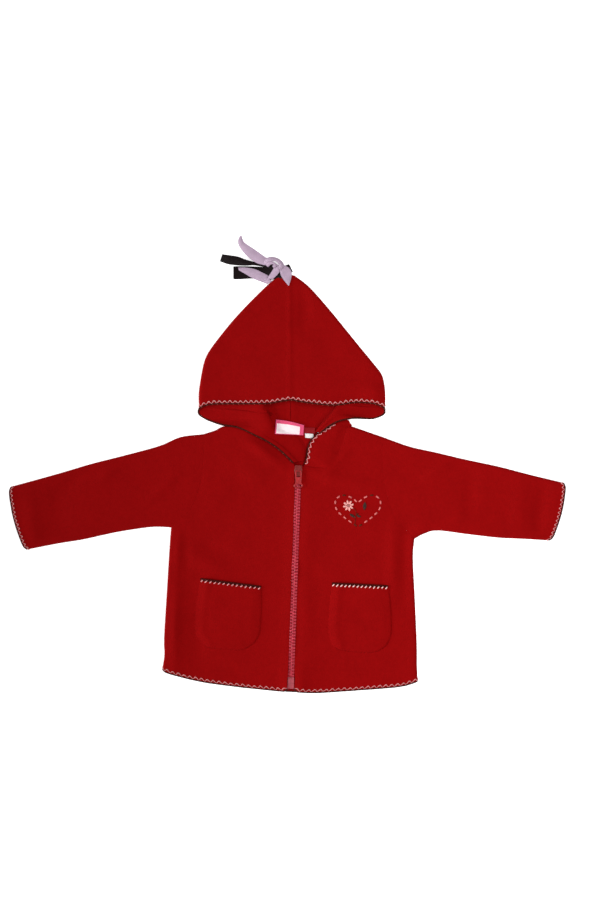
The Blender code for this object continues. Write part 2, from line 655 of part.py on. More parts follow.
def hood_half(name, sign, rows, brow, outline):
    """One half of the hood: lens and neck part below, front and back folded above."""
    seam_x = HOOD_SEAM_X + sign * GAP / 2
    fold = smooth(outline, 40)
    opening = smooth(brow, 30)
    opening[-1].x = seam_x
    tip_row = rows[-1]
    blank = [(seam_x, 0.0, 0.0)] * len(FRONT_SHARES)
    points = [blank + [tuple(p) for p in hood_section(row, seam_x)] for row in rows]
    for climb in CLIMB_SHARES:
        rim = along(fold, climb)
        peak_x = HOOD_PEAK[0] + sign * PEAK_HALF
        middle = Vector((seam_x, opening[-1].y)).lerp(Vector((peak_x, HOOD_PEAK[1])), climb)
        line = []
        for share in FRONT_SHARES:
            flat = middle.lerp(rim, share)
            arch = along(opening, 1.0 - share) - opening[-1].lerp(opening[0], share)
            place = flat + arch * (1.0 - climb) ** 3
            lift = BROW_RISE * math.exp(-(place.y - 72.0) / BROW_FADE)
            level = TOP_Z + ROLL_Z + lift * ease(1.15 * (1.0 - share)) + 0.6 * lift * share
            height = SEAM_Z + (level - SEAM_Z) * rim_share(path_distance(place.x, place.y, fold))
            line.append((place.x, place.y, height))
        start = tip_row.end_y + 7.0
        behind = Vector((middle.x, start + climb * (HOOD_PEAK[1] - start)))
        ridge_x = tip_row.crest_x * (1.0 + 0.12 * climb) - sign * 1.0
        ridge_rise = (tip_row.crest_z - 1.4) * math.exp(-(climb / RIDGE_FADE) ** 2)
        for share in BACK_SHARES:
            place = behind.lerp(rim, share)
            height = SEAM_Z * (1.0 - rim_share(path_distance(place.x, place.y, fold)))
            height += ridge_rise * math.exp(-((place.x - ridge_x) / RIDGE_WIDTH) ** 2)
            line.append((place.x, place.y, height if share < 1.0 else SEAM_Z))
        points.append(line)
    first_full = len(rows)
    outer_column = len(FRONT_SHARES)
    sheet(
        name, points, "fleece", WALL, 0,
        keep=lambda row, column: row >= first_full or column >= outer_column,
    )
    return points


def hood_turn():
    """The left neck end of the hood, outer side up beside the zip's top."""
    points = []
    for row in HOOD_TURN_ROWS:
        edge = Vector((row.edge_x, row.edge_y, row.edge_z + WALL))
        seam = Vector((row.seam_x, row.seam_y, row.seam_z + WALL))
        line = []
        for share in (0.0, 0.12, 0.3, 0.5, 0.7, 0.88, 1.0):
            place = edge.lerp(seam, share)
            place.z += TURN_BULGE * math.sin(math.pi * share)
            line.append(tuple(place))
        points.append(line)
    return sheet("hood_left_turn", points, "fleece", WALL, 1)


def cord_beside(edges, inners):
    """Centres of an edging cord that runs just past a cut edge, on the side away from
    the cloth. Both lists hold (x, y, z) places: on the edge, and inside it."""
    route = []
    for index, (x, y, z) in enumerate(edges):
        before = edges[max(0, index - 1)]
        after = edges[min(len(edges) - 1, index + 1)]
        run = Vector((after[0] - before[0], after[1] - before[1])).normalized()
        across = Vector((-run.y, run.x))
        inward = Vector((inners[index][0] - x, inners[index][1] - y))
        if across.dot(inward) > 0.0:
            across = -across
        reach = EDGING_RADIUS + 3.0 * GAP
        route.append((x + across.x * reach, y + across.y * reach, z))
    return route


def hood_edging(right_points, left_points):
    """One cord round the hood's opening, from the zip to the turned left neck end."""
    outer = len(FRONT_SHARES)
    edges = []
    inners = []
    for rows, points, order in (
        (HOOD_RIGHT_ROWS, right_points, 1), (HOOD_LEFT_ROWS, left_points, -1),
    ):
        places = []
        for line in points[:len(rows)]:
            x, y, z = line[outer]
            places.append(((x, y, z + WALL / 2), line[outer + 2]))
        brow = points[len(rows)]
        x, y, z = brow[outer]
        places.append(((x - order * TIP_REACH, y - 0.4, z + 0.8), brow[outer - 3]))
        for column in range(outer - 2, -1, -1):
            x, y, z = brow[column]
            drop = TIP_DROP * (column / (outer - 2)) ** 4
            places.append(((x, y - drop, z - WALL / 2), (x, y + 5.0, z)))
        if order > 0:
            places.pop()
        for edge, inner in places[::order]:
            edges.append(edge)
            inners.append(inner)
    return cord("hood_edging", cord_beside(edges, inners), "dark_thread", EDGING_RADIUS)


def turn_edging():
    """The cord on the cut edge of the turned neck end."""
    edges = [(row.edge_x, row.edge_y, row.edge_z + WALL / 2) for row in HOOD_TURN_ROWS[:6]]
    inners = [(row.edge_x + 9.0, row.edge_y - 3.0, 0.0) for row in HOOD_TURN_ROWS[:6]]
    return cord("hood_edging_turn", cord_beside(edges, inners), "dark_thread", EDGING_RADIUS)


# ---------------------------------------------------------------- trims on the body
def cuff_edging(name, sign, cuff):
    """A closed cord round a flattened cuff."""
    reach = EDGING_RADIUS + GAP + 0.1
    route = []
    inner = []
    for share in (0.02, 0.12, 0.26, 0.42, 0.58, 0.74, 0.88, 0.98):
        place = along(cuff, share)
        x = place.x + sign * reach
        route.append((x, place.y, top_height(place.x, place.y) - WALL / 2 + 0.35))
        inner.append((x, place.y, under_height(place.x, place.y) + EDGING_RADIUS))
    return cord(name, route + list(reversed(inner)), "dark_thread", EDGING_RADIUS, closed=True)


def hem_edging():
    """One cord along the hem: fronts from the zip outwards, joined by the back."""
    line = smooth(HEM, 34)
    low = []
    left_front = []
    right_front = []
    drop = Vector((0.0, EDGING_RADIUS))
    for place in line:
        lifted = place + drop
        height = top_height(place.x, place.y + HEM_INSET) - WALL / 2 + 0.3
        if place.x > zip_x(place.y) + ZIP_EDGE + EDGING_RADIUS:
            left_front.append((lifted.x, lifted.y, height))
        if place.x < zip_x(place.y) - ZIP_EDGE - EDGING_RADIUS:
            right_front.append((lifted.x, lifted.y, height))
        low.append((lifted.x, lifted.y, EDGING_RADIUS))
    low[0] = (low[0][0] + 0.4, low[0][1], low[0][2] + 0.2)
    low[-1] = (low[-1][0] - 0.4, low[-1][1], low[-1][2] + 0.2)
    route = list(reversed(right_front)) + low + list(reversed(left_front))
    return cord("hem_edging", route, "dark_thread", EDGING_RADIUS)


Pocket = namedtuple("Pocket", "left right top_left top_right bottom radius")
POCKETS = {
    "pocket_right": Pocket(-103.5, -30.8, -136.6, -144.4, -213.4, 17.0),
    "pocket_left": Pocket(48.4, 117.4, -141.6, -145.4, -216.0, 17.0),
}


def pocket(name, plan):
    """A patch pocket with round lower corners, made from the panel's points, moved out."""
    points = []
    middle = (plan.left + plan.right) / 2
    half = (plan.right - plan.left) / 2
    for v in (1.0, 0.96, 0.88, 0.76, 0.6, 0.4, 0.2, 0.0):
        line = []
        for u in (-1.0, -0.94, -0.8, -0.55, -0.2, 0.2, 0.55, 0.8, 0.94, 1.0):
            top = plan.top_left + (u + 1.0) / 2 * (plan.top_right - plan.top_left)
            y = top + v * (plan.bottom - top)
            above = y - plan.bottom
            cut = 0.0
            if above < plan.radius:
                cut = plan.radius - math.sqrt(plan.radius ** 2 - (plan.radius - above) ** 2)
            x = middle + u * (half - cut)
            line.append((x, y, top_height(x, y) + GAP + WALL))
        points.append(line)
    return sheet(name, points, "fleece", WALL, 1)


def pocket_edging(name, plan):
    """The cord on a pocket's top edge."""
    route = []
    for step in range(9):
        share = step / 8
        x = plan.left + share * (plan.right - plan.left)
        y = plan.top_left + share * (plan.top_right - plan.top_left)
        height = top_height(x, y) + GAP + max(WALL / 2, EDGING_RADIUS + 0.05)
        route.append((x, y + EDGING_RADIUS + GAP + 0.1, height))
    return cord(name, route, "dark_thread", EDGING_RADIUS)


# ---------------------------------------------------------------- zip
def zip_turn():
    """Angle of the zip's line from the Y axis, as a turn about the vertical."""
    return -math.atan2(ZIP_TOP[0] - ZIP_FOOT[0], ZIP_TOP[1] - ZIP_FOOT[1])


def strip_along_zip(name, near, far, y_low, y_high, base, rise, material):
    """A straight strip beside the zip's line, between two offsets from it."""
    length = (y_high - y_low) / math.cos(zip_turn())
    middle_y = (y_high + y_low) / 2
    offset = (near + far) / 2
    centre = (
        zip_x(middle_y) + offset * math.cos(zip_turn()),
        middle_y + offset * math.sin(zip_turn()),
        base + rise / 2,
    )
    return box(name, centre, (abs(far - near), length, rise), material, zip_turn())


def bridge_points():
    """The slider's bridge in its own frame: up, along and down again."""
    foot = SLIDER_TOP - 0.4
    points = [(0.0, -BRIDGE_HALF, foot)]
    for step in range(9):
        angle = math.pi - math.pi * step / 8
        bend = 1.0 - abs(math.cos(angle)) ** 3
        points.append((0.0, BRIDGE_HALF * math.cos(angle), SLIDER_TOP + BRIDGE_RISE * bend))
    points.append((0.0, BRIDGE_HALF, foot))
    return points


def join_by_union(target, tool):
    """Boolean union of a tool into a target, then the tool is removed."""
    union = target.modifiers.new("union", "BOOLEAN")
    union.operation = "UNION"
    union.object = tool
    bpy.context.view_layer.update()
    graph = bpy.context.evaluated_depsgraph_get()
    mesh = bpy.data.meshes.new_from_object(target.evaluated_get(graph))
    target.modifiers.clear()
    target.data = mesh
    bpy.data.objects.remove(tool, do_unlink=True)


def mesh_from_curve(thing):
    """Turn a curve object into a closed mesh object in the same place."""
    graph = bpy.context.evaluated_depsgraph_get()
    mesh = bpy.data.meshes.new_from_object(thing.evaluated_get(graph))
    weld = bmesh.new()
    weld.from_mesh(mesh)
    bmesh.ops.remove_doubles(weld, verts=weld.verts, dist=0.00001)
    weld.to_mesh(mesh)
    weld.free()
    solid = bpy.data.objects.new(thing.name + "_mesh", mesh)
    solid.matrix_world = thing.matrix_world.copy()
    bpy.context.scene.collection.objects.link(solid)
    bpy.data.objects.remove(thing, do_unlink=True)
    return solid


def slider_place():
    """Middle of the slider on the zip's line."""
    return (zip_x(SLIDER_MID_Y) + FRAME_SHIFT[0], SLIDER_MID_Y + FRAME_SHIFT[1])


def zip_slider():
    """The slider: a stem between the fronts, a wide top plate and a bridge."""
    x, y = slider_place()
    stem_base = TAPE_BASE + TAPE_WALL + GAP
    shift = Vector((-FRAME_SHIFT[0], -FRAME_SHIFT[1], 0.0))
    stem = box(
        "zip_slider", Vector((x, y, (stem_base + STEM_TOP) / 2)) + shift,
        (2 * ZIP_EDGE - 0.8, SLIDER_LENGTH, STEM_TOP - stem_base), "zip_plastic", zip_turn(),
    )
    plate = box(
        "zip_slider_plate", Vector((x, y, (STEM_TOP + SLIDER_TOP) / 2 - 0.05)) + shift,
        (SLIDER_WIDTH, SLIDER_LENGTH, SLIDER_TOP - STEM_TOP + 0.1), "zip_plastic", zip_turn(), 0.4,
    )
    curve = bpy.data.curves.new("zip_bridge", "CURVE")
    curve.dimensions = "3D"
    curve.bevel_depth = BRIDGE_WIRE * MM
    curve.bevel_resolution = 2
    curve.use_fill_caps = True
    line = curve.splines.new("POLY")
    route = bridge_points()
    line.points.add(len(route) - 1)
    for knot, place in zip(line.points, route):
        knot.co = (place[0] * MM, place[1] * MM, place[2] * MM, 1.0)
    bridge = bpy.data.objects.new("zip_bridge", curve)
    bpy.context.scene.collection.objects.link(bridge)
    bridge.location = (x * MM, y * MM, 0.0)
    bridge.rotation_euler = (0.0, 0.0, zip_turn())
    bpy.context.view_layer.update()
    join_by_union(stem, plate)
    join_by_union(stem, mesh_from_curve(bridge))
    return finish(stem, "zip_slider", "zip_plastic", smooth_sides=False)


def zip_pull():
    """The pull tab: a cross bar under the bridge, a window and a ring end.

    It hangs straight down the garment. Its origin is on the bar, so that it turns about
    its own X axis.
    """
    x, y = slider_place()
    half = TAB_WIDTH / 2
    outline = bpy.data.curves.new("zip_pull", "CURVE")
    outline.dimensions = "2D"
    outline.fill_mode = "BOTH"
    outline.extrude = TAB_WALL / 2 * MM
    rim = [(-half + 0.8, BAR_RADIUS), (half - 0.8, BAR_RADIUS), (half, -0.6)]
    rim += [(half * TAB_WAIST, -WAIST_DROP)]
    for step in range(15):
        angle = math.radians(RING_START - (180.0 + 2.0 * RING_START) * step / 14)
        rim.append((RING_HALF[0] * math.cos(angle), RING_HALF[1] * math.sin(angle) - RING_DROP))
    rim += [(-half * TAB_WAIST, -WAIST_DROP), (-half, -0.6)]
    window_half = BRIDGE_WIRE + 0.75
    window = [
        (-window_half, -BAR_RADIUS), (window_half, -BAR_RADIUS),
        (window_half, -TAB_WINDOW), (-window_half, -TAB_WINDOW),
    ]
    ring_hole = []
    for step in range(12):
        angle = 2.0 * math.pi * step / 12
        across = RING_HOLE_HALF[0] * math.cos(angle)
        ring_hole.append((across, RING_HOLE_HALF[1] * math.sin(angle) - RING_DROP))
    for loop in (rim, window, ring_hole):
        line = outline.splines.new("POLY")
        line.points.add(len(loop) - 1)
        line.use_cyclic_u = True
        for knot, (px, py) in zip(line.points, loop):
            knot.co = (px * MM, py * MM, 0.0, 1.0)
    flat = bpy.data.objects.new("zip_pull_outline", outline)
    bpy.context.scene.collection.objects.link(flat)
    bpy.context.view_layer.update()
    tab = mesh_from_curve(flat)
    tab.location = (x * MM, y * MM, (SLIDER_TOP + BAR_LIFT) * MM)
    return finish(tab, "zip_pull", "zip_plastic", smooth_sides=False)


def zip_parts():
    """Tapes, the closed chain's two halves, the box, the slider and the pull."""
    chain_base = TAPE_BASE + TAPE_WALL + GAP
    chain_top = SLIDER_MID_Y - SLIDER_LENGTH / 2 - GAP
    box_top = ZIP_FOOT[1] + BOX_LENGTH
    for name, sign in (("left", 1.0), ("right", -1.0)):
        strip_along_zip(
            "zip_tape_" + name, sign * GAP / 2, sign * TAPE_HALF,
            ZIP_FOOT[1] + 0.6, ZIP_TOP[1] - 1.5, TAPE_BASE, TAPE_WALL, "zip_tape",
        )
        strip_along_zip(
            "zip_chain_" + name, sign * GAP / 2, sign * CHAIN_HALF,
            box_top + GAP, chain_top, chain_base, CHAIN_RISE, "zip_plastic",
        )
    strip_along_zip(
        "zip_box", -ZIP_EDGE + 0.4, ZIP_EDGE - 0.4,
        ZIP_FOOT[1] + 0.6, box_top, chain_base, BOX_RISE, "zip_plastic",
    )
    zip_slider()
    zip_pull()


# ---------------------------------------------------------------- labels and ribbons
def labels():
    """The neck tape, a bare folded neck label and a bare size tab."""
    tape_z = WALL + GAP + TRIM_WALL / 2
    label_z = tape_z + TRIM_WALL + GAP + 0.1
    box("neck_tape", (*NECK_TAPE_MIDDLE, tape_z), (*NECK_TAPE_SIZE, TAPE_WALL), "neck_tape")
    box(
        "neck_label", (*NECK_LABEL_MIDDLE, label_z), (*NECK_LABEL_SIZE, TRIM_WALL),
        "pink_label", NECK_LABEL_TURN,
    )
    box(
        "size_label", (*SIZE_LABEL_MIDDLE, tape_z), (*SIZE_LABEL_SIZE, TRIM_WALL),
        "white_label", SIZE_LABEL_TURN,
    )


def ribbon(name, material, centres):
    """A ribbon end: a flat band on its middle line."""
    line = smooth(centres, 4 * len(centres) - 3)
    points = []
    for index, place in enumerate(line):
        before = line[max(0, index - 1)]
        after = line[min(len(line) - 1, index + 1)]
        run = (after - before).to_2d().normalized()
        across = Vector((-run.y, run.x, 0.0))
        row = []
        for share in (-0.5, 0.0, 0.5):
            spot = place + across * RIBBON_WIDTH * share
            row.append((spot.x, spot.y, spot.z + RIBBON_WALL / 2 + 0.2))
        points.append(row)
    return sheet(name, points, material, RIBBON_WALL, 1)


def ribbon_knot():
    """The knot at the hood's peak, as a rounded lump."""
    bpy.ops.mesh.primitive_uv_sphere_add(segments=14, ring_count=8, radius=1.0)
    thing = bpy.context.object
    thing.data.transform(Matrix.Diagonal(Vector((*KNOT_RADII, 1.0 / MM)) * MM))
    thing.location = Vector(
        (KNOT_CENTRE[0] + FRAME_SHIFT[0], KNOT_CENTRE[1] + FRAME_SHIFT[1], KNOT_CENTRE[2])
    ) * MM
    return finish(thing, "ribbon_knot", "lilac_ribbon")


# ---------------------------------------------------------------- the jacket
clear_scene()
JACKET = bpy.data.collections.new("fleece_jacket")
bpy.context.scene.collection.children.link(JACKET)

back_panel()
front_panel("front_left", 1.0, LEFT_EDGES, LEFT_ARMHOLE, LEFT_NECK)
front_panel("front_right", -1.0, RIGHT_EDGES, RIGHT_ARMHOLE, RIGHT_NECK)
left_cuff = sleeve("sleeve_left", 1.0, LEFT_EDGES, LEFT_ARMHOLE)
right_cuff = sleeve("sleeve_right", -1.0, RIGHT_EDGES, RIGHT_ARMHOLE)
right_hood = hood_half("hood_right", -1.0, HOOD_RIGHT_ROWS, RIGHT_BROW, RIGHT_OUTLINE)
left_hood = hood_half("hood_left", 1.0, HOOD_LEFT_ROWS, LEFT_BROW, LEFT_OUTLINE)
hood_edging(right_hood, left_hood)
hood_turn()
turn_edging()
cuff_edging("cuff_edging_left", 1.0, left_cuff)
cuff_edging("cuff_edging_right", -1.0, right_cuff)
hem_edging()
for pocket_name, pocket_plan in POCKETS.items():
    pocket(pocket_name, pocket_plan)
    pocket_edging(pocket_name.replace("pocket", "pocket_edging"), pocket_plan)
zip_parts()
labels()
for ribbon_name, (ribbon_material, ribbon_line) in RIBBONS.items():
    ribbon(ribbon_name, ribbon_material, ribbon_line)
ribbon_knot()
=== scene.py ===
"""Looks of a baby's hooded fleece jacket, laid flat and zipped up.

The tables are in millimetres on the garment's own origin: x towards the wearer's left,
y towards the hood's peak, z up from the surface that it lies on.
"""

import logging
import math
from dataclasses import dataclass, field
from enum import Enum
from functools import reduce
from typing import Callable, Optional, Sequence

import bmesh
import bpy
import numpy as np
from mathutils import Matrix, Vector
from mathutils.bvhtree import BVHTree

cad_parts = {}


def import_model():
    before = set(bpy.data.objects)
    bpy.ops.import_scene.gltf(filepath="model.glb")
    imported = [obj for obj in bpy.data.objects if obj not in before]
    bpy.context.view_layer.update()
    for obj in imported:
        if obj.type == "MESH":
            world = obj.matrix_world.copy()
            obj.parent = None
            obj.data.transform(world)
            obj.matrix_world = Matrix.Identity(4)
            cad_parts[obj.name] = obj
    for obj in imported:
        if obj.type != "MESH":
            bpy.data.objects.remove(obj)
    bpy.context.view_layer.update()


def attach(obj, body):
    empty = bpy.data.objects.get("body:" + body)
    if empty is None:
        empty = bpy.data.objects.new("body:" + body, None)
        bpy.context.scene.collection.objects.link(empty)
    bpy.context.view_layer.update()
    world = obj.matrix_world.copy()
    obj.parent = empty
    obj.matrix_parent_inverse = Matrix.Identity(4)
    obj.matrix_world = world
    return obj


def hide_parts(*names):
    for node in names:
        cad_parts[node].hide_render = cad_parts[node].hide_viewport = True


Array = np.ndarray
Piece = bpy.types.Object
Socket = bpy.types.NodeSocket
Colour = tuple[float, float, float, float]

log = logging.getLogger("fleece_jacket")

MM = 0.001                    # one millimetre in metres
GARMENT_SHIFT = (0.22, 1.07)  # from the tables' origin to the frame's, in millimetres
JACKET_BODY = "jacket"
PULL_BODY = "pull_tab"
UP = np.array([0.0, 0.0, 1.0])


# ---------------------------------------------------------------- small maths
def to_metres(points: Array) -> Array:
    """Move points from the tables' millimetres to the frame's metres.

    Args:
        points: places with x, y and z in the last axis.

    Returns:
        The same places in metres.
    """
    return (np.asarray(points, float) + np.array([*GARMENT_SHIFT, 0.0])) * MM


def smooth_at(points: Sequence, places: Array) -> Array:
    """Read a smooth curve that passes through every given point.

    Args:
        points: the points, or rows of numbers, in order.
        places: positions along them, where 1.5 is halfway from the second to the third.

    Returns:
        One point for each place.
    """
    knots = np.asarray(points, float)
    spans = len(knots) - 1
    span = np.clip(places.astype(int), 0, spans - 1)
    t = (places - span).reshape((-1,) + (1,) * (knots.ndim - 1))
    ends = np.concatenate([2 * knots[:1] - knots[1:2], knots, 2 * knots[-1:] - knots[-2:-1]])
    p0, p1, p2, p3 = (ends[span + step] for step in range(4))
    curve = 2 * p1 + (p2 - p0) * t + (2 * p0 - 5 * p1 + 4 * p2 - p3) * t * t
    return 0.5 * (curve + (3 * p1 - p0 - 3 * p2 + p3) * t ** 3)


def smooth(points: Sequence, count: int) -> Array:
    """Return a number of points along the smooth curve through the given ones."""
    return smooth_at(points, np.linspace(0.0, len(points) - 1, count))


def lengths_along(path: Array) -> Array:
    """Return the distance of each point from the path's start."""
    return np.concatenate([[0.0], np.cumsum(np.linalg.norm(np.diff(path, axis=0), axis=1))])


def read_at(rows: Array, run: Array, places: Array) -> Array:
    """Return rows of numbers, known at some distances, read at other distances."""
    return np.stack([np.interp(places, run, column) for column in rows.T], axis=-1)


def along(path: Array, shares: Array) -> Array:
    """Return the points at the given shares of a path's length."""
    run = lengths_along(path)
    return read_at(path, run, shares * run[-1])


def spaced(path: Array, step: float) -> Array:
    """Return a path's points again, evenly spaced at about the given step."""
    count = max(2, int(round(lengths_along(path)[-1] / step)) + 1)
    return along(path, np.linspace(0.0, 1.0, count))


def unit(vectors: Array) -> Array:
    """Return vectors at length one."""
    return vectors / np.maximum(np.linalg.norm(vectors, axis=-1, keepdims=True), 1e-9)


def distance_to(x: Array, y: Array, path: Array) -> Array:
    """Return the distance in plan from each place to a path.

    Args:
        x: the places' x.
        y: the places' y, in the same shape.
        path: the path's points; only x and y are read.

    Returns:
        Distances in the shape of x.
    """
    nearest = np.full(np.shape(x), 1e6)
    for a, b in zip(path, path[1:]):
        run = b[:2] - a[:2]
        share = share_along(x, y, a, run)
        gap = np.hypot(x - a[0] - share * run[0], y - a[1] - share * run[1])
        nearest = np.minimum(nearest, gap)
    return nearest


def share_along(x: Array, y: Array, start: Array, run: Array) -> Array:
    """Return how far along a straight run each place lies, from 0 to 1."""
    share = ((x - start[0]) * run[0] + (y - start[1]) * run[1]) / max(run @ run, 1e-9)
    return np.clip(share, 0.0, 1.0)


def ease(value: Array) -> Array:
    """Return a smooth step from 0 to 1 on the interval 0 to 1."""
    value = np.clip(value, 0.0, 1.0)
    return value * value * (3.0 - 2.0 * value)


def hump(distance: Array, half_width: float) -> Array:
    """Return a soft hump: 1 in its middle, and about a third at its half width."""
    return np.exp(-(distance / half_width) ** 2)


def unevenness(x: Array, y: Array, size: float, seed: int) -> Array:
    """Return soft random humps from -1 to 1.

    Args:
        x: the places' x.
        y: the places' y, in the same shape.
        size: about how wide a hump is.
        seed: which humps; the same number gives the same ones.

    Returns:
        Heights in the shape of x.
    """
    cells = 97                    # of the lattice of random heights, before it repeats
    lattice = np.random.default_rng(seed).uniform(-1.0, 1.0, (cells, cells))
    u, v = np.asarray(x) / size + 40.3, np.asarray(y) / size + 40.7
    column, row = np.floor(u).astype(int), np.floor(v).astype(int)
    s, t = ease(u - column), ease(v - row)
    left, right = column % cells, (column + 1) % cells
    low, high = row % cells, (row + 1) % cells
    under = lattice[low, left] * (1 - s) + lattice[low, right] * s
    over = lattice[high, left] * (1 - s) + lattice[high, right] * s
    return under * (1 - t) + over * t


# ---------------------------------------------------------------- outline
class Side(Enum):
    """A side of the garment, as its wearer has it."""

    LEFT = 1.0
    RIGHT = -1.0

    @property
    def word(self) -> str:
        """Return the side's name as piece names have it."""
        return self.name.lower()


SHOULDER = {
    Side.LEFT: [(62.0, 44.5), (72.0, 43.6), (88.0, 38.3), (109.0, 31.0)],
    Side.RIGHT: [(-42.0, 44.5), (-72.0, 43.8), (-84.0, 38.6), (-98.0, 34.2)],
}
ARM_TOP = {
    Side.LEFT: [(109.0, 31.0), (140.0, 20.0), (168.5, 13.6), (205.0, 5.0), (242.0, -2.9),
                (279.0, -12.5), (316.5, -21.5)],
    Side.RIGHT: [(-98.0, 34.2), (-124.0, 31.0), (-148.0, 20.8), (-190.0, 9.4),
                 (-227.0, 0.0), (-264.0, -11.0), (-318.2, -26.0)],
}
ARM_LOW = {
    Side.LEFT: [(145.5, -86.0), (157.0, -80.0), (172.0, -76.6), (205.0, -80.6),
                (242.0, -84.9), (270.0, -86.2), (299.8, -88.0)],
    Side.RIGHT: [(-134.5, -73.0), (-153.0, -72.3), (-172.0, -74.4), (-200.0, -79.0),
                 (-236.0, -86.9), (-264.0, -91.4), (-299.8, -98.4)],
}
BODY_SIDE = {
    Side.LEFT: [(145.5, -86.0), (143.8, -108.0), (146.0, -155.0), (148.2, -205.0),
                (148.4, -231.0), (149.3, -250.5)],
    Side.RIGHT: [(-134.5, -73.0), (-136.5, -99.5), (-139.3, -145.0), (-142.6, -200.0),
                 (-142.2, -219.0), (-144.8, -237.2)],
}
ARMHOLE = {
    Side.LEFT: [(109.0, 31.0), (108.0, 4.0), (111.5, -28.0), (123.0, -60.0), (145.5, -86.0)],
    Side.RIGHT: [(-98.0, 34.2), (-97.5, 8.0), (-101.0, -22.0), (-112.5, -52.0),
                 (-134.5, -73.0)],
}
HEM = [(-144.8, -238.0), (-135.0, -241.9), (-100.0, -250.6), (-55.0, -256.8),
       (-8.0, -261.6), (14.0, -262.8), (37.0, -263.2), (95.0, -259.3), (130.0, -256.0),
       (149.3, -250.5)]
NECKLINE = {
    Side.LEFT: [(16.0, -2.5), (38.0, -4.6), (51.5, -2.0), (59.5, 16.0), (65.5, 34.0),
                (68.6, 43.0), (70.0, 50.4)],
    Side.RIGHT: [(8.0, -2.5), (-3.5, 14.5), (-14.5, 24.0), (-28.0, 32.5), (-42.0, 44.5)],
}
BACK_NECK = [(-42.0, 44.5), (-15.0, 35.6), (33.0, 35.6), (62.0, 44.5)]

ZIP_TOP = np.array([12.2, -1.0])      # where the closed chain enters the slider
ZIP_FOOT = np.array([3.0, -259.0])    # lower end of the chain's line
SLOT_HALF = 3.6                       # half width of the slot between the fronts
SLOT_WIDE = 4.3                       # and where it opens round the slider

SHOULDER_PLACES = 12                  # how many points each smoothed line gets
ARMHOLE_PLACES = 20
SIDE_PLACES = 24
HEM_PLACES = 40


def zip_x(y: Array) -> Array:
    """Return the x of the zip's line at a height y."""
    share = (y - ZIP_FOOT[1]) / (ZIP_TOP[1] - ZIP_FOOT[1])
    return ZIP_FOOT[0] + share * (ZIP_TOP[0] - ZIP_FOOT[0])


# ---------------------------------------------------------------- how the cloth lies
@dataclass(frozen=True)
class Fold:
    """A soft ridge (rise above 0) or trough (below 0) on a straight run in plan."""

    x0: float
    y0: float
    x1: float
    y1: float
    half_width: float
    rise: float

    def height(self, x: Array, y: Array) -> Array:
        """Return what the fold adds to the cloth's height.

        Args:
            x: the places' x.
            y: the places' y.

        Returns:
            Heights in the shape of x.
        """
        run = np.array([self.x1 - self.x0, self.y1 - self.y0])
        share = share_along(x, y, (self.x0, self.y0), run)
        off = np.hypot(x - self.x0 - share * run[0], y - self.y0 - share * run[1])
        end = 0.35                # how much of its rise a fold keeps at its ends
        fade = end + (1.0 - end) * np.sin(math.pi * share)
        return self.rise * fade * hump(off, self.half_width)


def relief_of(folds: Sequence[Fold], x: Array, y: Array) -> Array:
    """Return what some folds add together to the cloth's height."""
    return sum(fold.height(x, y) for fold in folds)


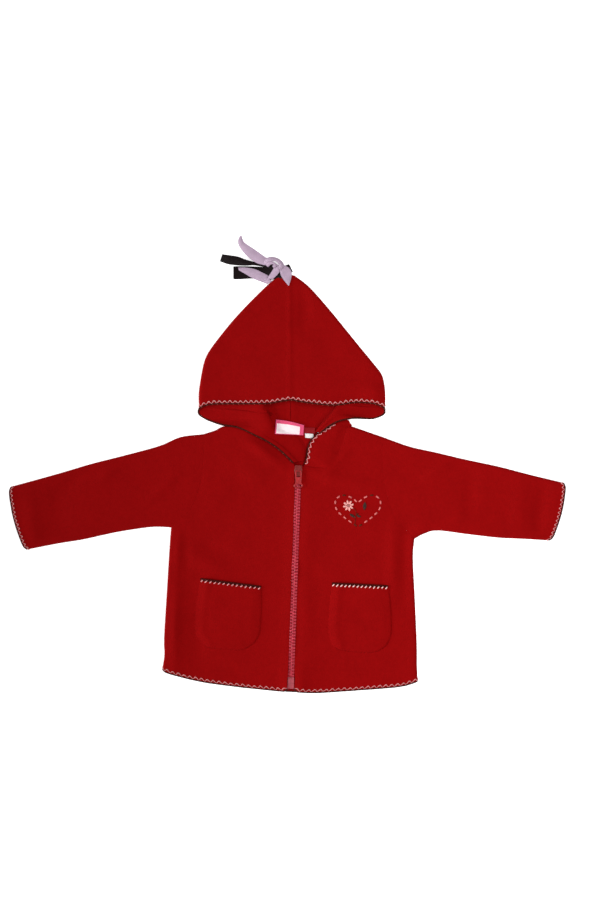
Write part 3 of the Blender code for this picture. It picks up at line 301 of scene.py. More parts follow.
NECK_FOLDS = [
    Fold(64.6, 41.0, 60.6, 27.0, 2.8, -1.7),
    Fold(56.8, 42.0, 54.6, 29.0, 3.0, 0.9),
    Fold(57.8, 24.0, 52.6, 10.0, 3.6, -1.5),
    Fold(59.0, 6.0, 70.0, 15.0, 4.0, 1.2),
    Fold(51.0, 30.0, 47.0, -24.0, 9.0, 1.7),
]
FRONT_FOLDS = NECK_FOLDS + [
    Fold(-127.6, -80.0, -129.5, -124.0, 4.6, 1.8),
    Fold(-117.0, -80.0, -117.0, -128.0, 5.6, -1.2),
    Fold(-131.0, -130.0, -132.0, -238.0, 8.0, 2.6),
    Fold(-106.0, -134.0, -104.0, -242.0, 14.0, -1.9),
    Fold(-122.0, -98.0, -70.0, -127.0, 8.0, 1.0),
    Fold(-114.0, -82.0, -54.0, -113.0, 8.5, -1.0),
    Fold(138.0, -66.0, 139.0, -150.0, 9.0, -1.9),
    Fold(121.0, -66.0, 120.0, -160.0, 8.0, 1.8),
    Fold(142.0, -140.0, 143.0, -236.0, 4.0, 0.6),
    Fold(18.0, -9.5, 99.0, -25.5, 7.0, 1.3),
    Fold(24.0, -22.0, 92.0, -38.0, 8.0, -0.9),
    Fold(-40.0, 37.0, 4.0, 4.0, 8.0, -1.4),
    Fold(-46.0, 27.0, -9.0, 1.0, 7.5, 3.2),
    Fold(-62.0, 10.0, -24.0, -20.0, 17.0, 1.6),
    Fold(-237.0, -9.0, -262.0, -36.0, 8.0, -1.3),
    Fold(-268.0, -24.0, -262.0, -88.0, 15.0, -1.5),
    Fold(-300.0, -30.0, -290.0, -96.0, 9.0, 1.2),
    Fold(-198.0, -3.0, -220.0, -22.0, 5.5, 1.2),
    Fold(-160.0, 6.0, -180.0, 2.0, 4.5, 1.0),
    Fold(-128.0, -12.0, -164.0, -48.0, 7.0, 1.5),
    Fold(-142.0, -34.0, -176.0, -64.0, 7.0, -0.9),
    Fold(190.0, 2.0, 158.0, -14.0, 6.0, 1.6),
    Fold(212.0, -8.0, 206.0, -62.0, 9.0, -1.4),
    Fold(206.0, -58.0, 190.0, -66.0, 5.0, 0.9),
    Fold(295.0, -22.0, 284.0, -90.0, 8.0, -1.4),
    Fold(272.0, -16.0, 262.0, -82.0, 9.0, 0.9),
    Fold(40.0, -226.0, 118.0, -240.0, 9.0, -0.9),
    Fold(-104.0, -230.0, -40.0, -242.0, 8.0, -1.0),
    Fold(0.0, -230.0, 0.0, -272.0, 8.0, 1.2),
    Fold(13.0, -232.0, 13.0, -272.0, 8.0, 1.6),
    Fold(-70.0, -18.0, -92.0, -62.0, 14.0, 0.9),
    Fold(30.0, -98.0, 34.0, -190.0, 9.0, -0.7),
    Fold(96.0, -84.0, 60.0, -124.0, 12.0, 0.7),
]
BACK_FOLDS = [
    Fold(-70.0, 20.0, -90.0, -60.0, 9.0, 0.9),
    Fold(80.0, 12.0, 104.0, -70.0, 9.0, 1.0),
    Fold(-20.0, -90.0, -44.0, -210.0, 12.0, 0.8),
    Fold(50.0, -120.0, 64.0, -230.0, 11.0, 0.9),
    Fold(-180.0, -10.0, -214.0, -60.0, 9.0, 0.8),
    Fold(186.0, -16.0, 214.0, -66.0, 9.0, 0.9),
]


@dataclass(frozen=True)
class Lay:
    """How the closed body and sleeves lie: heights of their top walls and undersides."""

    seam_z: float = 3.0          # side seams
    seam_gap: float = 0.3        # clearance of the two walls at a seam
    rim_run: float = 3.0         # run of a rounded side edge in plan
    top_z: float = 5.3           # top wall away from the edges
    roll_rise: float = 0.7       # extra height just inside an edge
    roll_run: float = 22.0
    fold_fade: float = 14.0      # run over which folds die out beside an edge
    valley_depth: float = 0.14   # sewn armhole seams, pulled down by their stitches
    valley_half: float = 2.6
    closed_edges: tuple = field(default_factory=lambda: tuple(
        smooth(table[side], count)
        for side in Side
        for table, count in ((SHOULDER, SHOULDER_PLACES), (ARM_TOP, SIDE_PLACES),
                             (ARM_LOW, SIDE_PLACES), (BODY_SIDE, SIDE_PLACES))
    ))
    armholes: tuple = field(default_factory=lambda: tuple(
        smooth(ARMHOLE[side], ARMHOLE_PLACES) for side in Side
    ))
    neck_valley: float = 0.25    # the left neck seam, pulled down less
    edging_lift: float = 0.9     # how far an edging under the cloth holds it up
    edging_run: float = 6.0
    neck_seam: Array = field(
        default_factory=lambda: smooth(NECKLINE[Side.LEFT], ARMHOLE_PLACES))
    hem: Array = field(default_factory=lambda: smooth(HEM, HEM_PLACES))
    drape: tuple = ((0.34, 27.0, 3), (0.16, 11.0, 8), (0.05, 4.0, 21))   # height, size, seed
    under_play: float = 0.25     # how far the underside is off the surface, more or less
    under_valley: float = 0.5    # and beside the armhole seams

    def edge_distance(self, x: Array, y: Array) -> Array:
        """Return the distance from each place to the closed outline."""
        return np.min([distance_to(x, y, path) for path in self.closed_edges], axis=0)

    def rim(self, distance: Array) -> Array:
        """Return the rounded edge's share: 0 on the outline, 1 on the level."""
        inside = 1.0 - np.minimum(distance, self.rim_run) / self.rim_run
        return np.sqrt(np.maximum(0.0, 1.0 - inside * inside))

    def valley(self, x: Array, y: Array) -> Array:
        """Return how near each place is to an armhole seam, from 0 to 1."""
        near = np.min([distance_to(x, y, path) for path in self.armholes], axis=0)
        return hump(near, self.valley_half)

    def top(self, x: Array, y: Array) -> Array:
        """Return the outer height of the top wall.

        Args:
            x: the places' x.
            y: the places' y.

        Returns:
            Heights in the shape of x.
        """
        distance = self.edge_distance(x, y)
        level = self.top_z + self.roll_rise * np.exp(
            -np.maximum(0.0, distance - self.rim_run) / self.roll_run)
        relief = relief_of(FRONT_FOLDS, x, y)
        relief = sum((height * unevenness(x, y, size, seed)
                      for height, size, seed in self.drape), relief)
        level = level + relief * ease(distance / self.fold_fade)
        level = level - self.valley_depth * self.valley(x, y)
        near = distance_to(x, y, self.neck_seam)
        level = level - self.neck_valley * hump(near, self.valley_half)
        foot = self.seam_z + self.seam_gap / 2
        return foot + (level - foot) * self.rim(distance)

    def under(self, x: Array, y: Array) -> Array:
        """Return the height of the underside, which rests on the surface.

        Args:
            x: the places' x.
            y: the places' y.

        Returns:
            Heights in the shape of x.
        """
        distance = self.edge_distance(x, y)
        relief = relief_of(BACK_FOLDS, x, y)
        relief = relief + self.under_play + self.under_play * unevenness(x, y, 24.0, 5)
        relief = relief + self.under_valley * self.valley(x, y)
        relief = relief + self.edging_lift * hump(distance_to(x, y, self.hem), self.edging_run)
        relief = relief * ease(distance / self.fold_fade)
        edge = (self.seam_z - self.seam_gap / 2) * (1.0 - self.rim(distance))
        return edge + np.maximum(relief, 0.0)


LAY = Lay()


RIM_LINES = 9                 # lines of a grid round a rounded edge


def rim_steps(length: float, cell: float, run: float, at_start: bool, at_end: bool) -> Array:
    """Shares of a length for a grid's lines, close together where an edge is rounded.

    Args:
        length: the whole length.
        cell: spacing on the level part.
        run: run of the rounded edge.
        at_start: whether the start is rounded.
        at_end: whether the end is rounded.

    Returns:
        Shares from 0 to 1.
    """
    turn = run * (1.0 - np.cos(np.linspace(0.0, math.pi / 2, RIM_LINES)))
    start = turn if at_start else np.array([0.0])
    end = length - (turn[::-1] if at_end else np.array([0.0]))
    count = max(2, int(round((end[0] - start[-1]) / cell)) + 1)
    middle = np.linspace(start[-1], end[0], count)[1:-1]
    return np.concatenate([start, middle, end]) / length


def coons(bottom: Array, top: Array, left: Array, right: Array,
          across: Array, up: Array) -> Array:
    """Fill four boundary paths with a grid of places.

    Args:
        bottom: path from the lower left corner to the lower right one.
        top: path from the upper left corner to the upper right one.
        left: path from the lower left corner up.
        right: path from the lower right corner up.
        across: shares of the columns.
        up: shares of the rows.

    Returns:
        An array of rows, columns and (x, y).
    """
    u, v = across[None, :, None], up[:, None, None]
    low, high = along(bottom, across)[None], along(top, across)[None]
    near, far = along(left, up)[:, None], along(right, up)[:, None]
    grid = low * (1 - v) + high * v + near * (1 - u) + far * u
    grid = grid - (bottom[0] * (1 - u) + bottom[-1] * u) * (1 - v)
    return grid - (top[0] * (1 - u) + top[-1] * u) * v


# ---------------------------------------------------------------- mesh making
class Facing(Enum):
    """Which way the outer side of a sheet faces."""

    UP = 1
    DOWN = -1
    ROUND = 0


def deselect_all() -> None:
    """Leave nothing selected, so that an operator acts on its own object only."""
    if bpy.context.mode != "OBJECT":
        bpy.ops.object.mode_set(mode="OBJECT")
    bpy.ops.object.select_all(action="DESELECT")


def make_active(piece: Piece) -> None:
    """Select one piece alone and make it the active one.

    Args:
        piece: the piece.
    """
    deselect_all()
    piece.select_set(True)
    bpy.context.view_layer.objects.active = piece


def apply_modifiers(piece: Piece) -> None:
    """Apply every modifier of a piece, in order.

    Args:
        piece: the piece.
    """
    make_active(piece)
    for modifier in list(piece.modifiers):
        bpy.ops.object.modifier_apply(modifier=modifier.name)


def shade(piece: Piece, degrees: float = 50.0) -> None:
    """Shade a piece smooth, apart from its sharp edges."""
    make_active(piece)
    bpy.ops.object.shade_smooth_by_angle(angle=math.radians(degrees))


def name_piece(piece: Piece, name: str) -> None:
    """Name a piece and its mesh alike."""
    piece.name = name
    piece.data.name = name


def set_uv(mesh: bpy.types.Mesh, places: Array) -> None:
    """Lay a UV place, in metres, on every corner from its vertex.

    Args:
        mesh: the piece's mesh.
        places: one place for each vertex.
    """
    layer = mesh.uv_layers.active or mesh.uv_layers.new(name="cloth")
    corners = np.empty(len(mesh.loops), dtype=np.int32)
    mesh.loops.foreach_get("vertex_index", corners)
    layer.data.foreach_set("uv", places[corners].astype(np.float32).ravel())


def grid_sheet(name: str, points: Array, wall: float, facing: Facing,
               keep: Optional[Array] = None, thin: Optional[Array] = None,
               cut: Optional[Array] = None) -> Piece:
    """Make a sheet of cloth on a grid of places on its outer side.

    Args:
        name: the piece's name.
        points: rows, columns and (x, y, z), in millimetres.
        wall: the cloth's thickness in millimetres.
        facing: which way the outer side faces.
        keep: which cells stay, as rows by columns; all if None.
        thin: the share of the thickness at each place; whole if None.
        cut: each place on the flat cut, in millimetres; its runs on the grid if None.

    Returns:
        The piece, a closed shell.
    """
    rows, columns = points.shape[:2]
    deselect_all()
    bpy.ops.mesh.primitive_grid_add(x_subdivisions=columns - 1, y_subdivisions=rows - 1, size=1.0)
    piece = bpy.context.object
    name_piece(piece, name)
    mesh = piece.data
    mesh.vertices.foreach_set("co", to_metres(points).astype(np.float32).ravel())
    if cut is None:
        cut = np.zeros((rows, columns, 2))
        cut[:, 1:, 0] = np.cumsum(np.linalg.norm(np.diff(points, axis=1), axis=2), axis=1)
        cut[1:, :, 1] = np.cumsum(np.linalg.norm(np.diff(points, axis=0), axis=2), axis=0)
    set_uv(mesh, cut.reshape(-1, 2) * MM)
    if thin is not None:
        group = piece.vertex_groups.new(name="wall")
        for index, share in enumerate(np.clip(thin, 0.02, 1.0).ravel()):
            group.add([index], float(share), "REPLACE")
    shell = bmesh.new()
    shell.from_mesh(mesh)
    shell.faces.ensure_lookup_table()
    if keep is not None:
        dropped = [shell.faces[index] for index in np.flatnonzero(~keep.ravel())]
        bmesh.ops.delete(shell, geom=dropped, context="FACES")
    bmesh.ops.remove_doubles(shell, verts=shell.verts, dist=2e-6)
    shell.normal_update()
    lift = 0.0
    for face in shell.faces:
        if facing is Facing.ROUND:
            side = face.calc_center_median().z - LAY.seam_z * MM
        else:
            side = facing.value
        lift += face.normal.z * face.calc_area() * side
    if lift < 0.0:
        bmesh.ops.reverse_faces(shell, faces=shell.faces)
    shell.to_mesh(mesh)
    shell.free()
    thicken = piece.modifiers.new("wall", "SOLIDIFY")
    thicken.thickness = wall * MM
    thicken.offset = -1.0
    if thin is not None:
        thicken.vertex_group = "wall"
    apply_modifiers(piece)
    piece.vertex_groups.clear()
    shade(piece)
    return piece


LEAST_CUT = 0.01              # a cut's shortest side, in metres
LEAST_FILL = 0.31             # the least share of its box that a cut fills


def lay_sheet(piece: Piece, grid: Array,
              with_pieces: Sequence[Piece] = (), keep: Optional[Array] = None) -> None:
    """Log the cut of a laid sheet, measured on its grid.

    Args:
        piece: the sheet.
        grid: rows, columns and (x, y, z) of its outer side, in millimetres.
        with_pieces: the separate pieces that are sewn on it; not used.
        keep: which cells are cloth; all if None.
    """
    across = np.linalg.norm(np.diff(grid, axis=1), axis=2)
    ahead = np.linalg.norm(np.diff(grid, axis=0), axis=2)
    slant = np.cross(grid[1:, 1:] - grid[:-1, :-1], grid[1:, :-1] - grid[:-1, 1:])
    cells = np.ones((len(grid) - 1, grid.shape[1] - 1)) if keep is None else keep.astype(float)
    width = (((across[1:] + across[:-1]) / 2) * cells).sum(axis=1).max() * MM
    length = (((ahead[:, 1:] + ahead[:, :-1]) / 2) * cells).sum(axis=0).max() * MM
    area = (0.5 * np.linalg.norm(slant, axis=2) * cells).sum() * MM * MM
    flat = (max(width, LEAST_CUT), max(length, LEAST_CUT))
    area = min(max(area, LEAST_FILL * flat[0] * flat[1]), flat[0] * flat[1])
    log.info("%s: cut %.0f x %.0f mm", piece.name, flat[0] / MM, flat[1] / MM)


def tube_rings(path: Array, radii: Array, up: Array, sides: int, flat: float) -> Array:
    """Return rings of places round a path.

    Args:
        path: the middle line.
        radii: the half width at each of its points.
        up: the way up at each of its points.
        sides: places in a ring.
        flat: the height as a share of the width.

    Returns:
        Points, places round them, and (x, y, z).
    """
    run = unit(np.gradient(path, axis=0))
    across = unit(np.cross(run, up))
    rise = np.cross(across, run)
    angle = np.linspace(0.0, 2.0 * math.pi, sides, endpoint=False)
    wide = across[:, None] * np.cos(angle)[None, :, None]
    high = rise[:, None] * np.sin(angle)[None, :, None] * flat
    return path[:, None] + (wide + high) * radii[:, None, None]


def round_ends(path: Array, radius: float) -> Array:
    """Return a radius for each point of a path, drawn in round at both ends.

    Args:
        path: the points along it.
        radius: the radius between its ends.

    Returns:
        A radius for each point.
    """
    run = lengths_along(path)
    to_end = np.minimum(run, run[-1] - run) / radius
    return radius * np.sqrt(np.clip(1.0 - (1.0 - np.minimum(to_end, 1.0)) ** 2, 0.01, 1.0))


def threads(name: str, strands: Sequence[tuple[Array, Array, Array]], sides: int = 6,
            flat: float = 1.0, looped: bool = False) -> Piece:
    """Make one piece of many round threads.

    Args:
        name: the piece's name.
        strands: for each thread its points in millimetres, their radii and their up.
        sides: sides of each thread.
        flat: the threads' height as a share of their width.
        looped: whether each thread closes on itself.

    Returns:
        The piece; its UV runs along each thread, in metres.
    """
    corners, faces, uv = [], [], []
    base = 0
    for path, radii, up in strands:
        rings = tube_rings(path, radii, up, sides, flat)
        count = len(path)
        corners.append(rings.reshape(-1, 3))
        run = np.repeat(lengths_along(path) * MM, sides)
        turn = np.tile(np.arange(sides) / sides, count)
        uv.append(np.stack([run, turn * 0.004], axis=-1))
        for ring in range(count if looped else count - 1):
            after = (ring + 1) % count
            for side in range(sides):
                beside = (side + 1) % sides
                faces.append((base + ring * sides + side, base + ring * sides + beside,
                              base + after * sides + beside, base + after * sides + side))
        if not looped:
            faces.append(tuple(base + side for side in reversed(range(sides))))
            faces.append(tuple(base + (count - 1) * sides + side for side in range(sides)))
        base += count * sides
    mesh = bpy.data.meshes.new(name)
    mesh.from_pydata(to_metres(np.concatenate(corners)).tolist(), [], faces)
    mesh.update()
    set_uv(mesh, np.concatenate(uv))
    piece = bpy.data.objects.new(name, mesh)
    bpy.context.scene.collection.objects.link(piece)
    make_active(piece)
    bpy.ops.object.mode_set(mode="EDIT")
    bpy.ops.mesh.select_all(action="SELECT")
    bpy.ops.mesh.normals_make_consistent(inside=False)
    bpy.ops.object.mode_set(mode="OBJECT")
    shade(piece, 60.0)
    return piece


# ---------------------------------------------------------------- finishes
class Graph:
    """A material's node tree, built a node at a time."""

    def __init__(self, name: str) -> None:
        """Start a material with its output and its shader.

        Args:
            name: the material's name.
        """
        self.material = bpy.data.materials.new(name)
        self.material.use_nodes = True
        self.tree = self.material.node_tree
        self.tree.nodes.clear()
        self.shader = self.tree.nodes.new("ShaderNodeBsdfPrincipled")
        output = self.tree.nodes.new("ShaderNodeOutputMaterial")
        self.tree.links.new(self.shader.outputs["BSDF"], output.inputs["Surface"])

    def feed(self, socket: Socket, value: object) -> None:
        """Link a pattern to a socket, or set the socket to a plain value.

        Args:
            socket: the input.
            value: what goes into it.
        """
        if isinstance(value, bpy.types.NodeSocket):
            self.tree.links.new(value, socket)
        else:
            socket.default_value = value

    def node(self, kind: str, settings: Optional[dict] = None, **sockets: object) -> bpy.types.Node:
        """Add a node.

        Args:
            kind: the node's type, without its ShaderNode prefix.
            settings: properties of the node itself.
            sockets: inputs by name, each a value or another node's output.

        Returns:
            The node.
        """
        made = self.tree.nodes.new("ShaderNode" + kind)
        for key, value in (settings or {}).items():
            setattr(made, key, value)
        for key, value in sockets.items():
            self.feed(made.inputs[key.replace("_", " ")], value)
        return made

    def places(self, own_uv: bool = False) -> Socket:
        """Return the piece's own places: its UV, or Object coordinates."""
        return self.node("TexCoord").outputs["UV" if own_uv else "Object"]

    def slanted(self, places: Socket, angle: float) -> Socket:
        """Return places turned by an angle, for bands that run askew."""
        return self.node("Mapping", Vector=places, Rotation=(0.0, 0.0, angle)).outputs["Vector"]

    def noise(self, places: Socket, scale: float, detail: float = 2.0,
              roughness: float = 0.5) -> Socket:
        """Return a noise pattern of the given scale, in humps per metre.

        Args:
            places: the coordinates it follows.
            scale: humps per metre.
            detail: how many finer layers it has.
            roughness: how strong the finer layers are.

        Returns:
            The pattern, from 0 to 1.
        """
        made = self.node("TexNoise", Vector=places, Scale=scale, Detail=detail,
                         Roughness=roughness)
        return made.outputs["Fac"]

    def waves(self, places: Socket, scale: float, direction: str = "X",
              distortion: float = 0.0) -> Socket:
        """Return even bands across one direction.

        Args:
            places: the coordinates they follow.
            scale: how close they stand.
            direction: the axis that they cross.
            distortion: how far they wander.

        Returns:
            The pattern, from 0 to 1.
        """
        made = self.node("TexWave", {"wave_type": "BANDS", "bands_direction": direction},
                         Vector=places, Scale=scale, Distortion=distortion)
        return made.outputs["Fac"]

    def maths(self, operation: str, a: object, b: object = 0.0) -> Socket:
        """Return a sum on two numbers or patterns.

        Args:
            operation: the sum's kind.
            a: the first number or pattern.
            b: the second one.

        Returns:
            The result's socket.
        """
        made = self.node("Math", {"operation": operation})
        for socket, value in zip(made.inputs, (a, b)):
            self.feed(socket, value)
        return made.outputs["Value"]

    def blend(self, *parts: tuple[Socket, float]) -> Socket:
        """Return some patterns added together, each times its own share."""
        scaled = [self.maths("MULTIPLY", pattern, share) for pattern, share in parts]
        return reduce(lambda total, pattern: self.maths("ADD", total, pattern), scaled)

    def ramp(self, pattern: Socket, low: Colour, high: Colour, start: float,
             stop: float) -> Socket:
        """Return a colour that runs from low to high with a pattern.

        Args:
            pattern: numbers from 0 to 1.
            low: the colour up to the start.
            high: the colour from the stop on.
            start: the pattern's number at which the colour begins to turn.
            stop: the number at which it has turned.

        Returns:
            The colour.
        """
        made = self.node("ValToRGB", Fac=pattern)
        first, last = made.color_ramp.elements
        first.position, first.color = start, low
        last.position, last.color = stop, high
        return made.outputs["Color"]

    def shades(self, pattern: Socket, colour: Colour, low: float, high: float,
               start: float, stop: float) -> Socket:
        """Return a colour that runs from a darker to a lighter shade of one colour."""
        return self.ramp(pattern, shaded(colour, low), shaded(colour, high), start, stop)

    def mix(self, share: Socket, low: object, high: object) -> Socket:
        """Return a colour that is low where the share is 0 and high where it is 1.

        Args:
            share: the pattern to follow.
            low: the colour at 0.
            high: the colour at 1.

        Returns:
            The mixed colour's socket.
        """
        made = self.node("Mix", {"data_type": "RGBA"})
        for socket, value in ((made.inputs["Factor"], share), (made.inputs[6], low),
                              (made.inputs[7], high)):
            self.feed(socket, value)
        return made.outputs[2]

    def set(self, **sockets: object) -> None:
        """Set or link the shader's sockets by name."""
        for key, value in sockets.items():
            self.feed(self.shader.inputs[key.replace("_", " ")], value)

    def bump(self, height: Socket, strength: float, depth: float) -> None:
        """Give the shader a relief of the given depth, in metres."""
        made = self.node("Bump", Height=height, Strength=strength, Distance=depth)
        self.set(Normal=made.outputs["Normal"])


def shaded(colour: Colour, factor: float) -> Colour:
    """Return a colour made lighter or darker."""
    return (colour[0] * factor, colour[1] * factor, colour[2] * factor, 1.0)


def grey(level: float) -> Colour:
    """Return a grey, or a plain number as a colour."""
    return (level, level, level, 1.0)


@dataclass(frozen=True)
class Finish:
    """A finish in one main colour; each kind sets up its own shader."""

    name: str
    colour: Colour

    def material(self) -> bpy.types.Material:
        """Build the finish.

        Returns:
            The material.
        """
        graph = Graph(self.name)
        self.shader(graph)
        return graph.material

    def shader(self, g: Graph) -> None:
        """Set up the finish on a material's graph."""
        g.set(Base_Color=self.colour)


@dataclass(frozen=True)
class FleeceFinish(Finish):
    """Brushed polyester fleece: short felted nap over soft, uneven dyeing."""

    spread: float = 0.10          # how far the dye varies
    nap_scale: float = 720.0
    clump_scale: float = 210.0
    cloud_scale: float = 42.0
    nap_depth: float = 0.00045
    sheen_tint: Colour = (0.80, 0.02, 0.02, 1.0)

    def shader(self, g: Graph) -> None:
        """Set up the finish on a material's graph.

        Args:
            g: the material's nodes.
        """
        places = g.places()
        nap = g.noise(places, self.nap_scale, 4.0, 0.62)
        clump = g.noise(places, self.clump_scale, 3.0, 0.55)
        cloud = g.noise(places, self.cloud_scale, 2.0)
        mixed = g.blend((nap, 0.50), (clump, 0.32), (cloud, 0.18))
        dye = g.shades(mixed, self.colour, 1.0 - self.spread, 1.0 + self.spread, 0.34, 0.66)
        g.set(Base_Color=dye, Roughness=0.95, Sheen_Weight=0.08, Sheen_Roughness=0.5,
              Sheen_Tint=self.sheen_tint, Specular_IOR_Level=0.03)
        g.bump(g.maths("ADD", nap, g.maths("MULTIPLY", clump, 0.8)), 0.55, self.nap_depth)


@dataclass(frozen=True)
class ThreadFinish(Finish):
    """Spun thread: plies twisted round each other, with loose fibres."""

    twist_scale: float = 420.0
    shine: float = 0.3
    specular: float = 0.3

    def shader(self, g: Graph) -> None:
        """Set up the finish on a material's graph.

        Args:
            g: the material's nodes.
        """
        twist = g.waves(g.slanted(g.places(own_uv=True), 0.9), self.twist_scale)
        mixed = g.blend((twist, 0.6), (g.noise(g.places(), 2600.0, 2.0), 0.4))
        g.set(Base_Color=g.shades(mixed, self.colour, 0.62, 1.18, 0.2, 0.8), Roughness=0.62,
              Sheen_Weight=self.shine, Sheen_Roughness=0.4, Specular_IOR_Level=self.specular)
        g.bump(mixed, 0.7, 0.0003)


@dataclass(frozen=True)
class TapeFinish(Finish):
    """Woven tape: fine rows of weft across close warp ends."""

    rows: float = 900.0           # weft rows in a metre
    sheen: float = 0.1

    def shader(self, g: Graph) -> None:
        """Set up the finish on a material's graph.

        Args:
            g: the material's nodes.
        """
        uv = g.places(own_uv=True)
        weft = g.waves(uv, self.rows, "Y", 0.6)
        twill = g.waves(g.slanted(uv, 0.5), self.rows * 0.8, "X", 0.4)
        mixed = g.blend((weft, 0.35), (twill, 0.35), (g.noise(g.places(), 160.0, 3.0), 0.3))
        g.set(Base_Color=g.shades(mixed, self.colour, 0.72, 1.15, 0.2, 0.8), Roughness=0.7,
              Sheen_Weight=self.sheen, Sheen_Roughness=0.4, Sheen_Tint=self.colour,
              Specular_IOR_Level=0.2)
        g.bump(mixed, 0.5, 0.00025)


@dataclass(frozen=True)
class LabelFinish(Finish):
    """Woven label: a blank pale field in a border of the main colour, in satin weave."""

    field_colour: Colour
    left: float                   # the field's edges on the label's cut, in metres
    right: float
    low: float
    high: float
    rows: float = 1300.0

    def shader(self, g: Graph) -> None:
        """Set up the finish on a material's graph.

        Args:
            g: the material's nodes.
        """
        uv = g.places(own_uv=True)
        split = g.node("SeparateXYZ", Vector=uv).outputs
        ragged = g.maths("MULTIPLY", g.noise(uv, 2400.0), 0.0004)
        u, v = g.maths("ADD", split["X"], ragged), g.maths("ADD", split["Y"], ragged)
        inside = reduce(lambda both, test: g.maths("MULTIPLY", both, test), (
            g.maths("GREATER_THAN", u, self.left), g.maths("LESS_THAN", u, self.right),
            g.maths("GREATER_THAN", v, self.low), g.maths("LESS_THAN", v, self.high)))
        weft = g.waves(uv, self.rows, "Y", 0.5)
        warp = g.waves(uv, self.rows * 1.3, "X", 0.5)
        weave = g.maths("MULTIPLY", g.maths("ADD", weft, warp), 0.5)
        border = g.shades(weave, self.colour, 0.8, 1.12, 0.1, 0.9)
        field = g.shades(weave, self.field_colour, 0.88, 1.0, 0.1, 0.9)
        g.set(Base_Color=g.mix(inside, border, field), Roughness=0.55, Sheen_Weight=0.15,
              Sheen_Roughness=0.4, Specular_IOR_Level=0.25)
        g.bump(weave, 0.5, 0.0002)


@dataclass(frozen=True)
class SatinFinish(Finish):
    """Satin ribbon: close warp threads along its length, plain at its two selvedges."""

    width: float                  # of the ribbon, in metres
    gloss: float = 0.42           # roughness
    specular: float = 0.3
    selvedge: float = 0.0006      # width of each selvedge, in metres

    def shader(self, g: Graph) -> None:
        """Set up the finish on a material's graph.

        Args:
            g: the material's nodes.
        """
        uv = g.places(own_uv=True)
        split = g.node("SeparateXYZ", Vector=uv).outputs
        warp = g.waves(uv, 1500.0, "X", 0.8)
        weft = g.waves(uv, 900.0, "Y", 0.8)
        mixed = g.blend((warp, 0.3), (weft, 0.15), (g.noise(g.places(), 130.0, 3.0), 0.55))
        off = g.maths("ABSOLUTE", g.maths("SUBTRACT", split["X"], self.width / 2))
        selvedge = g.maths("GREATER_THAN", off, self.width / 2 - self.selvedge)
        body = g.shades(mixed, self.colour, 0.80, 1.14, 0.25, 0.75)
        edge = g.shades(weft, self.colour, 0.66, 0.95, 0.2, 0.8)
        g.set(Base_Color=g.mix(selvedge, body, edge), Roughness=self.gloss,
              Sheen_Weight=0.2, Sheen_Roughness=0.35, Sheen_Tint=self.colour,
              Specular_IOR_Level=self.specular)
        g.bump(mixed, 0.45, 0.0003)


@dataclass(frozen=True)
class PlasticFinish(Finish):
    """Moulded plastic: faint flow marks, a rubbed skin and small scuffs."""

    roughness: float = 0.32
    specular: float = 0.5

    def shader(self, g: Graph) -> None:
        """Set up the finish on a material's graph.

        Args:
            g: the material's nodes.
        """
        places = g.places()
        flow = g.noise(places, 260.0, 3.0)
        scuff = g.noise(places, 1500.0, 4.0, 0.65)
        rough = g.ramp(scuff, grey(self.roughness - 0.08), grey(self.roughness + 0.2), 0.35, 0.7)
        g.set(Base_Color=g.shades(flow, self.colour, 0.78, 1.16, 0.3, 0.7), Roughness=rough,
              Specular_IOR_Level=self.specular)
        g.bump(g.maths("ADD", scuff, flow), 0.25, 0.00008)


@dataclass(frozen=True)
class RubbedMetalFinish(Finish):
    """Die-cast metal under thin paint, rubbed bare where the tab swings."""

    bare: Colour

    def shader(self, g: Graph) -> None:
        """Set up the finish on a material's graph.

        Args:
            g: the material's nodes.
        """
        places = g.places()
        rub = g.noise(places, 420.0, 4.0, 0.6)
        worn = g.ramp(rub, grey(0.0), grey(1.0), 0.42, 0.56)
        metal = g.node("RGBToBW", Color=worn).outputs["Val"]
        g.set(Base_Color=g.mix(metal, self.colour, self.bare),
              Metallic=g.maths("MULTIPLY", metal, 0.85), Roughness=0.36)
        g.bump(rub, 0.3, 0.00008)


@dataclass(frozen=True)
class FloorFinish(Finish):
    """Plain pale studio sweep, lit a little from behind as a light table is."""

    glow: float = 0.6

    def shader(self, g: Graph) -> None:
        """Set up the finish on a material's graph.

        Args:
            g: the material's nodes.
        """
        grain = g.noise(g.places(), 90.0, 2.0)
        g.set(Emission_Color=self.colour, Emission_Strength=self.glow)
        g.set(Base_Color=g.shades(grain, self.colour, 0.99, 1.0, 0.3, 0.7), Roughness=0.9,
              Specular_IOR_Level=0.1)


RED_FLEECE = FleeceFinish("red_fleece", (0.190, 0.0016, 0.0019, 1.0))
DARK_THREAD = ThreadFinish("dark_brown_thread", (0.046, 0.0055, 0.0040, 1.0), 420.0, 0.0, 0.05)
DULL_THREAD = ThreadFinish("dull_brown_thread", (0.26, 0.065, 0.040, 1.0), 420.0, 0.0, 0.1)
PINK_THREAD = ThreadFinish("pale_pink_thread", (0.62, 0.235, 0.235, 1.0), shine=0.1)
BRIGHT_THREAD = ThreadFinish("bright_pink_thread", (0.78, 0.44, 0.42, 1.0), shine=0.1)
CORAL_THREAD = ThreadFinish("coral_thread", (0.60, 0.135, 0.13, 1.0), shine=0.15)
PALE_THREAD = ThreadFinish("pale_daisy_thread", (0.78, 0.36, 0.33, 1.0), shine=0.15)
GREEN_THREAD = ThreadFinish("dark_green_thread", (0.050, 0.024, 0.020, 1.0), 420.0, 0.0, 0.08)
BROWN_THREAD = ThreadFinish("brown_thread", (0.090, 0.012, 0.006, 1.0), 420.0, 0.0, 0.08)
GREY_THREAD = ThreadFinish("grey_thread", (0.46, 0.20, 0.18, 1.0), shine=0.05)
# The zip tape's red is painted light. It is about twice as light as the cloth's red, so that the gaps
# between the teeth, in the slot's shade, read as lit.
RED_TAPE_PAINTED_LIGHT = TapeFinish("red_zip_tape", (0.42, 0.024, 0.036, 1.0))
